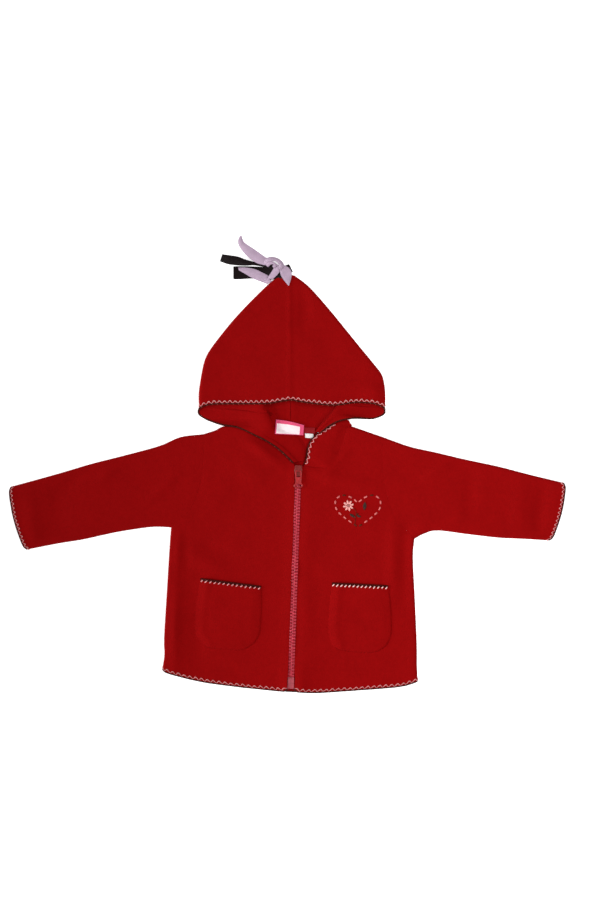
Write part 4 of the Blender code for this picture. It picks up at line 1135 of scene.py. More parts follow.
LIGHT_TAPE = TapeFinish("light_red_neck_tape", (0.215, 0.005, 0.008, 1.0))
PINK_PLASTIC = PlasticFinish("pink_red_plastic", (0.37, 0.026, 0.044, 1.0), 0.34, 0.4)
# The box's plastic is a paler, greyer pink than the teeth's.
BOX_PLASTIC = PlasticFinish("worn_pink_plastic", (0.29, 0.043, 0.057, 1.0), 0.34, 0.5)
RED_PLASTIC = PlasticFinish("red_plastic", (0.27, 0.012, 0.014, 1.0), 0.34, 0.45)
# The slider's plastic is darker than the tab's. This is partly its own red-brown colour and partly
# painted shade, so that the tab's window reads as a shadowed hole.
SLIDER_PLASTIC_PAINTED_SHADE = PlasticFinish("dark_red_plastic", (0.15, 0.012, 0.010, 1.0), 0.38, 0.4)
BRIDGE_METAL = RubbedMetalFinish("rubbed_bridge", (0.34, 0.040, 0.036, 1.0),
                                 (0.42, 0.30, 0.25, 1.0))
PINK_LABEL = LabelFinish("pink_bordered_label", (0.62, 0.064, 0.152, 1.0),
                         (0.80, 0.68, 0.70, 1.0), 0.0016, 0.0282, 0.0009, 0.0108)
WHITE_LABEL = LabelFinish("white_size_label", (0.62, 0.58, 0.57, 1.0),
                          (0.66, 0.64, 0.62, 1.0), 0.0004, 0.0092, 0.0003, 0.0049)
LILAC_SATIN = SatinFinish("lilac_satin", (0.37, 0.27, 0.36, 1.0), 0.010)
DARK_SATIN = SatinFinish("dark_satin", (0.0060, 0.0030, 0.0032, 1.0), 0.010, 0.5, 0.12)


def press_flat(piece: Piece) -> None:
    """Flatten whatever would reach under the surface that the garment lies on."""
    for vertex in piece.data.vertices:
        vertex.co.z = max(vertex.co.z, 0.0)


class Wardrobe:
    """Makes each finish once and hands it to the pieces."""

    def __init__(self) -> None:
        """Start with nothing made."""
        self.made: dict[str, bpy.types.Material] = {}

    def dress(self, piece: Piece, finish: Finish, slot: str, replaces: Sequence[str] = (),
              body: str = JACKET_BODY) -> Piece:
        """Give a piece its finish and say what it rides on and stands for.

        Args:
            piece: the piece.
            finish: one of the finishes above.
            slot: the record's material slot; not used.
            replaces: the solids that it stands for.
            body: the body that it rides on.

        Returns:
            The same piece.
        """
        if finish.name not in self.made:
            self.made[finish.name] = finish.material()
        piece.data.materials.clear()
        piece.data.materials.append(self.made[finish.name])
        press_flat(piece)
        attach(piece, body)
        if replaces:
            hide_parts(*replaces)
        log.info("%s: %d faces", piece.name, len(piece.data.polygons))
        return piece

    def panel(self, name: str, points: Array, wall: float, facing: Facing,
              keep: Optional[Array] = None, thin: Optional[Array] = None) -> Piece:
        """Make a panel of fleece that stands for the solid of its name, as grid_sheet does."""
        piece = grid_sheet(name + "_cloth", points, wall, facing, keep, thin)
        return self.dress(piece, RED_FLEECE, "fleece", [name])


# ---------------------------------------------------------------- cut edges
@dataclass
class CutEdge:
    """A cut edge of cloth: its places, the way into the cloth, and the outer side's way."""

    points: Array
    inward: Array
    outer: Array

    @classmethod
    def of(cls, edge: Array, inside: Array, outer_hint: Array) -> "CutEdge":
        """Read an edge from a sheet's grid.

        Args:
            edge: the grid's line on the edge.
            inside: a line a little further into the cloth.
            outer_hint: roughly the way that the outer side faces, one for all or each.

        Returns:
            The edge.
        """
        inward = unit(inside - edge)
        outer = unit(np.cross(np.gradient(edge, axis=0), inward))
        outer *= np.sign(np.sum(outer * outer_hint, axis=1, keepdims=True) + 1e-12)
        return cls(np.array(edge), inward, outer)

    def middle(self, wall: float, outward: float) -> "CutEdge":
        """Return the line of a binding's middle, half a wall in and a little outwards."""
        points = self.points - self.outer * wall / 2 - self.inward * outward
        return CutEdge(points, self.inward, self.outer)

    def then(self, other: "CutEdge") -> "CutEdge":
        """Return this edge followed by another.

        Args:
            other: the edge that follows.

        Returns:
            Both as one edge.
        """
        pairs = zip((self.points, self.inward, self.outer),
                    (other.points, other.inward, other.outer))
        return CutEdge(*(np.concatenate(pair) for pair in pairs))

    def part(self, rows: slice) -> "CutEdge":
        """Return some of the edge's places."""
        return CutEdge(self.points[rows], self.inward[rows], self.outer[rows])

    def reversed(self) -> "CutEdge":
        """Return the edge from its other end."""
        return self.part(slice(None, None, -1))

    def rounded(self, passes: int) -> "CutEdge":
        """Return the edge with its corners drawn round.

        Args:
            passes: how many times its points are evened out.

        Returns:
            The rounded edge.
        """
        points = self.points.copy()
        for _ in range(passes):
            points[1:-1] = (points[:-2] + 2.0 * points[1:-1] + points[2:]) / 4.0
        return CutEdge(points, self.inward, self.outer)

    def read(self, run: Array, at: Array) -> list[Array]:
        """Return points, inward ways and outer ways at some distances along the edge."""
        return [read_at(rows, run, at) for rows in (self.points, self.inward, self.outer)]

    def spaced(self, step: float) -> "CutEdge":
        """Return the edge with evenly spaced places.

        Args:
            step: about how far apart its places are.

        Returns:
            The same edge again.
        """
        run = lengths_along(self.points)
        count = max(3, int(round(run[-1] / step)) + 1)
        points, inward, outer = self.read(run, np.linspace(0.0, run[-1], count))
        return CutEdge(points, unit(inward), unit(outer))


@dataclass
class Overlock:
    """An overlocked edge: dark thread wrapped round it and a pale zigzag on its face."""

    radius: float = 1.15          # the wrapped edge's half width
    wrap_pitch: float = 1.5       # distance between wraps
    wrap_depth: float = 0.10      # how deep the wraps' grooves are, as a share
    pitch: float = 6.9            # one zigzag
    reach: float = 2.7            # how far the zigzag reaches into the cloth
    start: float = 0.2            # and where it turns, beside the edge
    lean: float = 0.62            # share of a zigzag that its slow leg takes
    thread: float = 0.42          # the zigzag thread's half width
    knot: float = 0.8             # how much wider its loops are at their peaks
    dive: float = -0.5            # how far it drops into the wraps at its outer turns
    zigzag_steps: int = 12        # places along one zigzag
    prick_thread: float = 0.3     # half width of the pale turns outside the binding
    band_pitch: float = 0.62      # distance between a band's threads
    band_thread: float = 0.36     # and their half width

    def binding(self, name: str, edges: Sequence[CutEdge], looped: bool = False) -> Piece:
        """Make the dark wraps round some edges.

        Args:
            name: the piece's name.
            edges: the bindings' middle lines.
            looped: whether they close on themselves.

        Returns:
            The piece.
        """
        strands = []
        for edge in edges:
            run = edge.spaced(self.wrap_pitch / 4.0)
            wave = np.cos(np.arange(len(run.points)) * math.pi / 2.0)
            wobble = unevenness(run.points[:, 0], run.points[:, 1], 7.0, 31)
            radii = self.radius * (1.0 + self.wrap_depth * wave + 0.05 * wobble)
            if looped:
                run, radii = run.part(slice(-1)), radii[:-1]
            strands.append((run.points, radii, run.outer))
        return threads(name, strands, sides=8, looped=looped)

    def zigzag(self, name: str, edges: Sequence[CutEdge], lift: float = 0.35) -> Piece:
        """Make the pale thread that runs to and fro on the edges' outer side.

        Args:
            name: the piece's name.
            edges: the cut edges, with places on their outer side.
            lift: height of the thread's middle above the outer side.

        Returns:
            The piece.
        """
        strands = []
        for edge in edges:
            run = edge.spaced(self.pitch / self.zigzag_steps)
            step = np.arange(len(run.points)) / self.zigzag_steps
            seed = np.random.default_rng(len(run.points))
            count = int(step[-1]) + 2
            peak = 1.0 + seed.uniform(-0.14, 0.14, count)[step.astype(int)]
            phase = step % 1.0
            rising = phase / self.lean
            falling = (1.0 - phase) / (1.0 - self.lean)
            swing = ease(np.minimum(rising, falling))
            into = self.start + (self.reach * peak - self.start) * swing
            height = lift + self.dive * np.clip(1.0 - into / (0.45 * self.reach), 0.0, 1.0)
            path = run.points + run.inward * into[:, None] + run.outer * height[:, None]
            radii = round_ends(path, self.thread) * (0.75 + self.knot * swing ** 2)
            strands.append((path, radii, run.outer))
        return threads(name, strands, sides=6)

    def pricks(self, name: str, edge: CutEdge) -> Piece:
        """Make the short turns of pale thread that show at the outside of a bound edge.

        Args:
            name: the piece's name.
            edge: the binding's middle line.

        Returns:
            The piece.
        """
        steps = 6
        run = edge.spaced(self.pitch / steps)
        around = np.linspace(-0.5, 1.1, 7)
        strands = []
        for index in range(steps // 2, len(run.points) - steps // 2, steps):
            out, outer = -run.inward[index], run.outer[index]
            outer = outer * (1.0 if outer[2] > 0.0 else -1.0)
            ring = np.cos(around)[:, None] * out + np.sin(around)[:, None] * outer
            ahead = (run.points[index + 1] - run.points[index - 1]) * 0.18
            path = run.points[index] + ring * (self.radius + 0.12) + np.outer(around, ahead)
            out_ways = np.tile(outer, (len(around), 1))
            strands.append((path, round_ends(path, self.prick_thread), out_ways))
        return threads(name, strands, sides=5)

    def band(self, name: str, edge: CutEdge, start: float, stop: float) -> Piece:
        """Make a flat row of dark threads on an edge's outer side, across the given reach.

        Args:
            name: the piece's name.
            edge: the cut edge.
            start: how far in from the edge it starts.
            stop: how far in it ends.

        Returns:
            The piece.
        """
        run = edge.spaced(0.45)
        length = lengths_along(run.points)
        strands = []
        for place in np.arange(0.5, length[-1] - 0.5, self.band_pitch):
            share = np.linspace(0.0, 1.0, 6)
            points, inward, outer = run.read(length, place + 0.25 * share)
            into = start + (stop - start) * share
            height = 0.12 + 0.22 * np.sin(math.pi * share)
            path = points + inward * into[:, None] + outer * height[:, None]
            strands.append((path, round_ends(path, self.band_thread), outer))
        return threads(name, strands, sides=5)

    def strokes(self, name: str, edge: CutEdge, count: int, slant: float,
                lift: float = 0.35) -> Piece:
        """Make single slanted stitches on an edge's outer side.

        Args:
            name: the piece's name.
            edge: the cut edge, with places on its outer side.
            count: how many stitches.
            slant: how far each stitch leans along the edge.
            lift: height of the thread's middle above the outer side.

        Returns:
            The piece.
        """
        strands = []
        steps = 9
        sway = np.random.default_rng(count).uniform(-0.12, 0.12, (count, 2))
        run = edge.spaced(0.5)
        length = lengths_along(run.points)
        places = (np.arange(count) + 0.5) * length[-1] / count
        for place, (shift, reach) in zip(places, sway):
            share = np.linspace(0.0, 1.0, steps)
            points, inward, outer = run.read(length, place + slant * (0.5 - share) + shift)
            into = self.start + (self.reach * (1.0 + reach) - self.start) * share
            height = lift + 0.35 * np.sin(math.pi * share)
            path = points + inward * into[:, None] + outer * height[:, None]
            strands.append((path, round_ends(path, self.thread), outer))
        return threads(name, strands, sides=8)

    def sew(self, wardrobe: Wardrobe, name: str, edges: Sequence[CutEdge],
            wraps: Sequence[CutEdge], node: str, looped: bool = False) -> list[Piece]:
        """Overlock some edges: dark wraps round them, and the pale zigzag beside them.

        Args:
            wardrobe: what dresses the pieces.
            name: the start of both pieces' names.
            edges: the cut edges, for the zigzag.
            wraps: the bindings' middle lines.
            node: the solid that the wraps stand for.
            looped: whether the wraps close on themselves.

        Returns:
            The wraps and the zigzag.
        """
        binding = self.binding(name + "_binding", wraps, looped)
        wardrobe.dress(binding, DARK_THREAD, "dark_thread", [node])
        pale = self.zigzag(name + "_zigzag", edges)
        wardrobe.dress(pale, PINK_THREAD, "dark_thread")
        return [binding, pale]


# ---------------------------------------------------------------- body and sleeves
@dataclass
class Body:
    """The two fronts and the back, sewn to each other at the sides and shoulders."""

    wardrobe: Wardrobe
    wall: float = 1.9
    cell: float = 2.3             # about how wide a cell of the fronts' grids is
    back_cell: float = 3.68
    back_size: tuple[float, float] = (286.0, 290.0)
    hem_inset: float = 1.4        # the cut edge above the hem's line
    slot_foot: float = 1.2        # the slot's lower end above the zip's line
    slot_bends: tuple = (-246.0, -240.0, -120.0, -24.0, -15.0, -4.5)
    narrow_bends: tuple = (2, 3, 4)      # which of its places are beside the chain
    hem_places: int = 60
    placket_rise: float = 0.95    # of the edges turned under beside the zip
    placket_run: float = 8.0
    placket_crest: float = 11.0   # from the slot to the left front's crest
    fronts: dict = field(default_factory=dict)
    back_grid: Optional[Array] = None
    trim: list = field(default_factory=list)

    def side_path(self, side: Side) -> Array:
        """Return a side seam and its armhole as one path, from the hem up.

        Args:
            side: the garment's side.

        Returns:
            Places (x, y).
        """
        lower = smooth(BODY_SIDE[side], SIDE_PLACES)[::-1]
        upper = smooth(ARMHOLE[side], ARMHOLE_PLACES)[::-1]
        path = np.concatenate([lower[:-1], upper])
        first = path[1] - path[0]
        path[0] = path[0] + first * self.hem_inset / np.linalg.norm(first)
        return path

    def hem_path(self, x_from: float, x_to: float) -> Array:
        """Return the cloth's lower edge between two places.

        Args:
            x_from: where it starts.
            x_to: where it ends.

        Returns:
            Places (x, y).
        """
        x = np.linspace(x_from, x_to, HEM_PLACES)
        line = smooth(HEM, self.hem_places)
        return np.stack([x, np.interp(x, line[:, 0], line[:, 1]) + self.hem_inset], axis=-1)

    def front(self, side: Side) -> Piece:
        """Make one front, from the zip's slot out to the side seam and up to the shoulder.

        Args:
            side: the front's side.

        Returns:
            The piece.
        """
        outer = self.side_path(side)
        slot_y = np.array([ZIP_FOOT[1] + self.slot_foot, *self.slot_bends])
        half = np.where(np.isin(np.arange(len(slot_y)), self.narrow_bends), SLOT_HALF, SLOT_WIDE)
        slot = np.stack([zip_x(slot_y) + side.value * half, slot_y], axis=-1)
        neck = smooth(NECKLINE[side], ARMHOLE_PLACES)
        inner = np.concatenate([slot, neck])
        bottom = self.hem_path(inner[0, 0], outer[0, 0])
        bottom[0], bottom[-1] = inner[0], outer[0]
        shoulder = smooth(SHOULDER[side], SHOULDER_PLACES)
        beyond = np.abs(shoulder[:, 0]) > abs(inner[-1, 0]) + 0.5
        top = np.concatenate([inner[-1:], shoulder[beyond]])
        top[-1] = outer[-1]
        inner_run = lengths_along(inner)
        slot_end = inner_run[len(slot)]
        corner = slot_end / inner_run[-1]
        width = abs(outer[0, 0] - inner[0, 0])
        across = rim_steps(width, self.cell, LAY.rim_run, False, True)
        lower = np.linspace(0.0, corner, int(slot_end / self.cell))
        neck_run = inner_run[-1] - slot_end
        upper = corner + (1.0 - corner) * rim_steps(neck_run, self.cell, LAY.rim_run, False, True)
        up = np.concatenate([lower, upper[1:]])
        plan = coons(bottom, top, inner, outer, across, up)
        x, y = plan[..., 0], plan[..., 1]
        self.fronts[side] = np.dstack([plan, LAY.top(x, y) + self.placket(x, y)])
        return self.wardrobe.panel("front_" + side.word, self.fronts[side], self.wall, Facing.UP)

    def placket(self, x: Array, y: Array) -> Array:
        """Return the turned-under edges' rise: at the slot on the right, beside it on the left.

        Args:
            x: the places' x.
            y: the places' y.

        Returns:
            Heights in the shape of x.
        """
        off = x - zip_x(y)
        run = np.abs(off) - SLOT_HALF
        away = run - self.placket_crest
        spread = np.where(away < 0.0, self.placket_run, 2.0 * self.placket_run)
        ridge = np.where(off < 0.0, hump(run, self.placket_run), hump(away, spread))
        return self.placket_rise * ridge * ease((4.0 - y) / 14.0)

    def back(self) -> Piece:
        """Make the back, flat on the surface, from the hem to the shoulders and neck.

        Returns:
            The piece.
        """
        left, right = self.side_path(Side.RIGHT), self.side_path(Side.LEFT)
        bottom = self.hem_path(left[0, 0], right[0, 0])
        bottom[0], bottom[-1] = left[0], right[0]
        shoulders = [smooth(SHOULDER[side], SHOULDER_PLACES)
                     for side in (Side.RIGHT, Side.LEFT)]
        top = np.concatenate([shoulders[0][::-1], BACK_NECK[1:3], shoulders[1]])
        across, up = (rim_steps(size, self.back_cell, LAY.rim_run, rounded, True)
                      for size, rounded in zip(self.back_size, (True, False)))
        plan = coons(bottom, top, left, right, across, up)
        self.back_grid = np.dstack([plan, LAY.under(plan[..., 0], plan[..., 1])])
        return self.wardrobe.panel("back", self.back_grid, self.wall, Facing.DOWN)

    def hem(self) -> None:
        """Overlock the hem: both fronts, and the back between the side seams."""
        stitch = Overlock(pitch=6.85, reach=2.5, thread=0.36, lean=0.7)
        edges = [CutEdge.of(grid[0], grid[2], UP) for grid in self.fronts.values()]
        edges.append(CutEdge.of(self.back_grid[0], self.back_grid[2], -UP))
        wraps = [edge.middle(self.wall, 0.5) for edge in edges]
        self.trim = stitch.sew(self.wardrobe, "hem", edges, wraps, "hem_edging")

    def build(self) -> None:
        """Make the three panels and their hem."""
        back = self.back()
        fronts = {side: self.front(side) for side in Side}
        self.hem()
        lay_sheet(back, self.back_grid, self.trim)
        for side, front in fronts.items():
            lay_sheet(front, self.fronts[side])


@dataclass
class Sleeve:
    """A sleeve laid flat, as a tube from its armhole to its cuff."""

    wardrobe: Wardrobe
    side: Side
    wall: float = 1.8
    cell: float = 2.4
    breadth: float = 88.0         # its middling width, laid flat
    reach: float = 190.0          # from the armhole to the cuff
    seam_play: float = 0.05       # clearance from the armhole's cut edge
    cuff_bow: float = 5.6         # how far the cuff's line bows out
    cuff_places: int = 40
    cuff: Optional[Array] = None

    def build(self) -> Piece:
        """Make the tube.

        Returns:
            The piece.
        """
        sign = self.side.value
        seam = smooth(ARMHOLE[self.side], ARMHOLE_PLACES)
        seam = seam + np.array([sign * self.seam_play, 0.0])
        upper, lower = (smooth(table[self.side], SIDE_PLACES) for table in (ARM_TOP, ARM_LOW))
        upper[0], lower[0] = seam[0], seam[-1]
        chord = lower[-1] - upper[-1]
        bow = unit(np.array([-chord[1], chord[0]]))
        bow = bow * sign * np.sign(bow[0]) * self.cuff_bow
        self.cuff = smooth([upper[-1], upper[-1] + chord * 0.12 + bow * 0.62,
                            upper[-1] + chord * 0.5 + bow, upper[-1] + chord * 0.88 + bow * 0.62,
                            lower[-1]], self.cuff_places)
        shares = rim_steps(self.breadth, self.cell, LAY.rim_run, True, True)
        steps = np.linspace(0.0, 1.0, int(self.reach / self.cell))
        plan = coons(seam, self.cuff, upper, lower, shares, steps)
        x, y = plan[..., 0], plan[..., 1]
        over = np.dstack([plan, LAY.top(x, y)])
        below = np.dstack([plan, self.underside(x, y)])[:, ::-1]
        ring = np.concatenate([over, below, over[:, :1]], axis=1)
        piece = self.wardrobe.panel("sleeve_" + self.side.word, ring, self.wall, Facing.ROUND)
        lay_sheet(piece, ring, self.edging(ring))
        return piece

    def edging(self, ring: Array) -> list[Piece]:
        """Overlock the cuff, all round.

        Args:
            ring: the sleeve's places, with its cuff as the last row.

        Returns:
            The wraps and the zigzag.
        """
        stitch = Overlock(pitch=4.85, reach=2.3, thread=0.34, lean=0.6)
        around = ring[-1] - UP * LAY.seam_z
        hint = around - around.mean(axis=0)
        hint[:, :2] *= 0.02
        edge = CutEdge.of(ring[-1], ring[-3], hint)
        name = "cuff_edging_" + self.side.word
        return stitch.sew(self.wardrobe, name, [edge], [edge.middle(self.wall, 0.4)], name, True)

    def underside(self, x: Array, y: Array) -> Array:
        """Return the underside's height, lifted a little at the cuff by its edging."""
        lift = LAY.edging_lift * hump(distance_to(x, y, self.cuff), LAY.edging_run)
        return LAY.under(x, y) + lift * LAY.rim(LAY.edge_distance(x, y))


# ---------------------------------------------------------------- hood
HOOD_SEAM_X = 3.0
HOOD_PEAK = np.array([3.0, 219.6])

# Lower part of each half, from the zip up to the opening's tip: the cut edge, the rolled
# crest and the end at the neck or centre seam, each as x, y and the underside's z.
HOOD_ROWS = {
    Side.RIGHT: [
        (7.4, 1.6, 6.0, 12.0, 2.6, 3.8, 20.0, 4.4, 2.5),
        (-6.5, 15.2, 6.4, -0.5, 16.2, 4.0, 20.0, 18.0, 2.4),
        (-19.3, 24.6, 6.8, -12.0, 26.0, 4.6, 14.0, 29.0, 2.4),
        (-35.0, 32.8, 7.0, -24.5, 33.5, 5.8, 6.0, 34.4, 2.3),
        (-52.8, 41.0, 7.5, -21.0, 39.5, 7.2, -1.0, 35.2, 1.6),
        (-73.4, 44.6, 5.0, -21.0, 44.5, 8.3, HOOD_SEAM_X, 35.4, 0.2),
        (-88.8, 50.0, 1.2, -23.5, 51.0, 7.8, HOOD_SEAM_X, 42.5, 0.1),
        (-100.8, 57.0, 0.8, -27.0, 58.0, 7.0, HOOD_SEAM_X, 50.5, 0.0),
    ],
    Side.LEFT: [
        (35.2, 36.6, 8.2, 33.6, 37.2, 8.4, 30.5, 34.4, 1.0),
        (41.5, 41.8, 9.0, 38.5, 43.4, 9.3, 33.0, 35.4, 0.6),
        (51.5, 47.8, 9.1, 44.0, 49.0, 9.6, 18.0, 35.0, 0.0),
        (59.5, 50.8, 9.1, 47.5, 53.0, 9.6, HOOD_SEAM_X, 35.4, 0.0),
        (72.0, 52.6, 8.0, 51.0, 57.0, 9.0, HOOD_SEAM_X, 41.5, 0.0),
        (84.0, 52.6, 4.0, 54.5, 61.0, 8.2, HOOD_SEAM_X, 47.5, 0.0),
        (96.5, 53.0, 1.4, 57.5, 64.5, 7.2, HOOD_SEAM_X, 53.5, 0.0),
        (108.4, 57.4, 0.8, 60.0, 67.5, 6.4, HOOD_SEAM_X, 59.5, 0.0),
    ],
}
BROW = {
    Side.RIGHT: [(-102.4, 65.2), (-97.0, 68.6), (-89.0, 70.6), (-74.0, 71.2),
                 (-27.0, 71.4), (-9.7, 73.8), (HOOD_SEAM_X, 75.8)],
    Side.LEFT: [(111.8, 65.0), (106.6, 68.6), (98.0, 71.6), (78.0, 72.8),
                (51.0, 69.6), (20.7, 72.8), (HOOD_SEAM_X, 75.8)],
}
HOOD_OUTLINE = {
    Side.RIGHT: [(-102.4, 65.2), (-102.7, 82.0), (-99.4, 104.0), (-95.3, 121.0),
                 (-86.4, 136.2), (-60.2, 168.8), (-26.4, 203.4), (-7.6, 219.0)],
    Side.LEFT: [(111.8, 65.0), (112.0, 82.0), (108.8, 101.0), (99.0, 114.8),
                (77.5, 141.0), (49.5, 175.5), (24.5, 203.6), (5.0, 218.6)],
}
# The left neck end, outer side up: its cut edge as x, y and the underside's z, and the
# place of its seam on the left neckline, as a share of that line.
TURN_ROWS = [
    (19.4, -0.6, 4.4, 0.02),
    (21.4, 2.6, 4.7, 0.11),
    (23.2, 7.0, 5.0, 0.24),
    (24.2, 15.8, 5.4, 0.40),
    (26.8, 24.0, 5.6, 0.55),
    (31.6, 30.5, 5.7, 0.67),
    (38.8, 36.4, 5.8, 0.79),
    (47.0, 41.0, 5.8, 0.88),
    (56.0, 48.0, 4.6, 0.96),
    (62.0, 52.0, 3.6, 1.0),
]
LENS_FOLDS = [
    Fold(-8.8, 76.0, -7.6, 46.0, 2.4, 0.8),
    Fold(-2.2, 76.0, -1.2, 46.0, 2.2, -0.7),
    Fold(4.4, 76.0, 5.2, 46.0, 3.0, 0.7),
    Fold(12.0, 76.0, 14.0, 48.0, 3.0, -0.5),
    Fold(32.0, 70.0, 16.0, 50.0, 4.0, 0.8),
    Fold(-30.0, 66.0, -26.0, 34.0, 13.0, 1.6),
    Fold(6.0, 86.0, 6.0, 28.0, 15.0, 3.0),
    Fold(78.0, 70.0, 74.0, 44.0, 12.0, 1.0),
]
HOOD_FOLDS = [
    Fold(19.0, 204.0, 18.0, 154.0, 9.0, -1.8),
    Fold(100.0, 66.0, 102.0, 96.0, 20.0, 2.2),
    Fold(50.0, 76.0, 106.0, 78.0, 6.5, -1.3),
    Fold(-92.0, 78.0, -40.0, 76.0, 6.0, -0.7),
    Fold(-60.0, 100.0, -30.0, 170.0, 14.0, 0.5),
    Fold(30.0, 150.0, 70.0, 96.0, 14.0, -0.6),
    Fold(-80.0, 84.0, -40.0, 90.0, 9.0, -0.5),
    Fold(52.0, 84.0, 84.0, 92.0, 8.0, 0.6),
]


@dataclass
class Hood:
    """The pointed hood laid flat: its front, its back, its opening and its neck ends."""

    wardrobe: Wardrobe
    wall: float = 1.8
    cell: float = 2.4
    breadth: float = 105.0        # of one half, at its widest
    height: float = 150.0         # from the opening to the peak
    peak_share: float = 0.985     # how much of that the grid climbs, under the ribbons' knot
    edge_growth: float = 1.2      # the cloth runs this far into its wrapped edge
    outline_places: int = 40
    row_cells: int = 6            # cells from one row of the table to the next
    crest_columns: int = 12       # places across from the edge to the crest
    floor_columns: int = 34       # and from there to the seam
    brow_rise: float = 4.6        # how far the front stands above the hood's upper part
    brow_y: float = 72.0          # where it stands that far
    brow_fade: float = 55.0
    crest_reach: float = 5.2      # plan length of the steep side of the crest
    ridge_fade: float = 0.20      # climb over which the crest dies out inside the hood
    ridge_lean: float = 55.0      # and how fast it runs outwards, over a whole climb
    seam_ridge: float = 0.55      # the centre seam's allowance, pressed to one side
    lens_y: tuple[float, float] = (30.0, 110.0)   # where the opening's own folds run
    turn_bulge: float = 0.9
    turn_shape: tuple[int, int] = (48, 24)        # rows and columns of the turned end
    turn_wrapped: int = 41        # rows of the turned end whose edge isn't hidden
    wrap_out: float = 0.3         # how far the wraps' middle stands out from the cut edge
    section_places: tuple = (0, 3, 8, 14, 20, 25, 30, 35, 40)
    back_shares: tuple = (1.0, 0.992, 0.965, 0.90, 0.76, 0.58, 0.40, 0.20, 0.0)
    edges: dict = field(default_factory=dict)
    grids: dict = field(default_factory=dict)

    def sections(self, rows: Array, columns: Array) -> Array:
        """Return the lower part's points, from the cut edge over the crest to its end.

        Args:
            rows: rows of the table above, or rows read between them.
            columns: places across, from 0 at the edge to 8 at the end.

        Returns:
            Rows, columns and (x, y, z).
        """
        edge, crest, end = rows[:, 0:3].copy(), rows[:, 3:6], rows[:, 6:9].copy()
        end[np.abs(end[:, 0] - HOOD_SEAM_X) < 0.2, 0] = HOOD_SEAM_X
        out = unit(edge[:, :2] - crest[:, :2])
        edge[:, :2] += out * self.edge_growth
        run = np.linalg.norm((end - crest)[:, :2], axis=1)
        steep = np.minimum(0.55, self.crest_reach / run)
        lapel = ease((end[:, 2] - 0.4) / 1.6)
        reach = (steep * (1.0 - lapel) + 0.8 * lapel)[:, None]
        foot = crest + (end - crest) * reach
        foot[:, 2] = end[:, 2] + 0.04 * (crest[:, 2] - end[:, 2])
        belly = edge + (crest - edge) * 0.55
        belly[:, 2] = edge[:, 2] + 0.35 * (crest[:, 2] - edge[:, 2])
        knots = np.stack([edge, belly, crest, foot, end])
        places = np.interp(columns, np.arange(9), self.section_places) / 10.0
        points = np.transpose(smooth_at(knots, places), (1, 0, 2))
        floor = np.minimum(edge[:, 2], end[:, 2])[:, None]
        points[..., 2] = np.maximum(points[..., 2], floor)
        return points

    def middle(self, climb: Array, start_y: float) -> Array:
        """Return the centre seam's places, from a height up to the peak."""
        seam = np.array([HOOD_SEAM_X, start_y])
        return seam + (HOOD_PEAK - seam) * climb[:, None]

    def upper_front(self, side: Side, climb: Array, shares: Array) -> Array:
        """Return the front's outer points, for shares from the centre to the fold.

        Args:
            side: the half.
            climb: shares of the way up to the peak.
            shares: shares of the way from the centre (0) to the fold (1).

        Returns:
            Rows, columns and (x, y, z).
        """
        fold = smooth(HOOD_OUTLINE[side], self.outline_places)
        brow = smooth(BROW[side], self.outline_places)
        brow[:, 1] -= self.edge_growth * ease(np.linspace(0.0, 6.0, self.outline_places))
        brow[-1, 0] = HOOD_SEAM_X
        rim = along(fold, climb)[:, None]
        middle = self.middle(climb, brow[-1, 1])[:, None]
        flat = middle + (rim - middle) * shares[None, :, None]
        chord = brow[-1] + (brow[0] - brow[-1]) * shares[:, None]
        arch = along(brow, 1.0 - shares) - chord
        plan = flat + arch[None] * ((1.0 - climb) ** 3)[:, None, None]
        x, y = plan[..., 0], plan[..., 1]
        lift = self.brow_rise * np.exp((self.brow_y - y) / self.brow_fade)
        rise = lift * ease(1.15 * (1.0 - shares))[None] + 0.6 * lift * shares[None]
        level = LAY.top_z + LAY.roll_rise + rise
        near = distance_to(x, y, fold)
        relief = relief_of(HOOD_FOLDS, x, y)
        relief = relief + 0.4 * unevenness(x, y, 30.0, 61) + 0.16 * unevenness(x, y, 12.0, 62)
        off = x - middle[..., 0]
        relief = relief + self.seam_ridge * (hump(off + 1.2, 2.6) - 0.25 * hump(off - 4.0, 2.8))
        level = level + relief * ease(near / LAY.fold_fade)
        return np.dstack([plan, LAY.seam_z + (level - LAY.seam_z) * LAY.rim(near)])

    def upper_back(self, side: Side, climb: Array, columns: Array) -> Array:
        """Return the back's outer points, for places from the fold (0) to the seam (8).

        Args:
            side: the half.
            climb: shares of the way up to the peak.
            columns: places from the fold (0) to the seam (8).

        Returns:
            Rows, columns and (x, y, z).
        """
        shares = np.interp(columns, np.arange(9), self.back_shares)
        fold = smooth(HOOD_OUTLINE[side], self.outline_places)
        tip = HOOD_ROWS[side][-1]
        rim = along(fold, climb)[:, None]
        behind = self.middle(climb, tip[7] + 7.0)[:, None]
        plan = behind + (rim - behind) * shares[None, :, None]
        x, y = plan[..., 0], plan[..., 1]
        height = LAY.seam_z * (1.0 - LAY.rim(distance_to(x, y, fold)))
        profile = self.sections(np.array([tip]), np.linspace(0.0, 8.0, 60))[0]
        order = np.argsort(profile[:, 0])
        level = np.interp(x - side.value * self.ridge_lean * climb[:, None],
                          profile[order, 0], profile[order, 2])
        height = np.maximum(height, level * hump(climb, self.ridge_fade)[:, None])
        height[:, shares >= 1.0] = LAY.seam_z
        return np.dstack([plan, height])

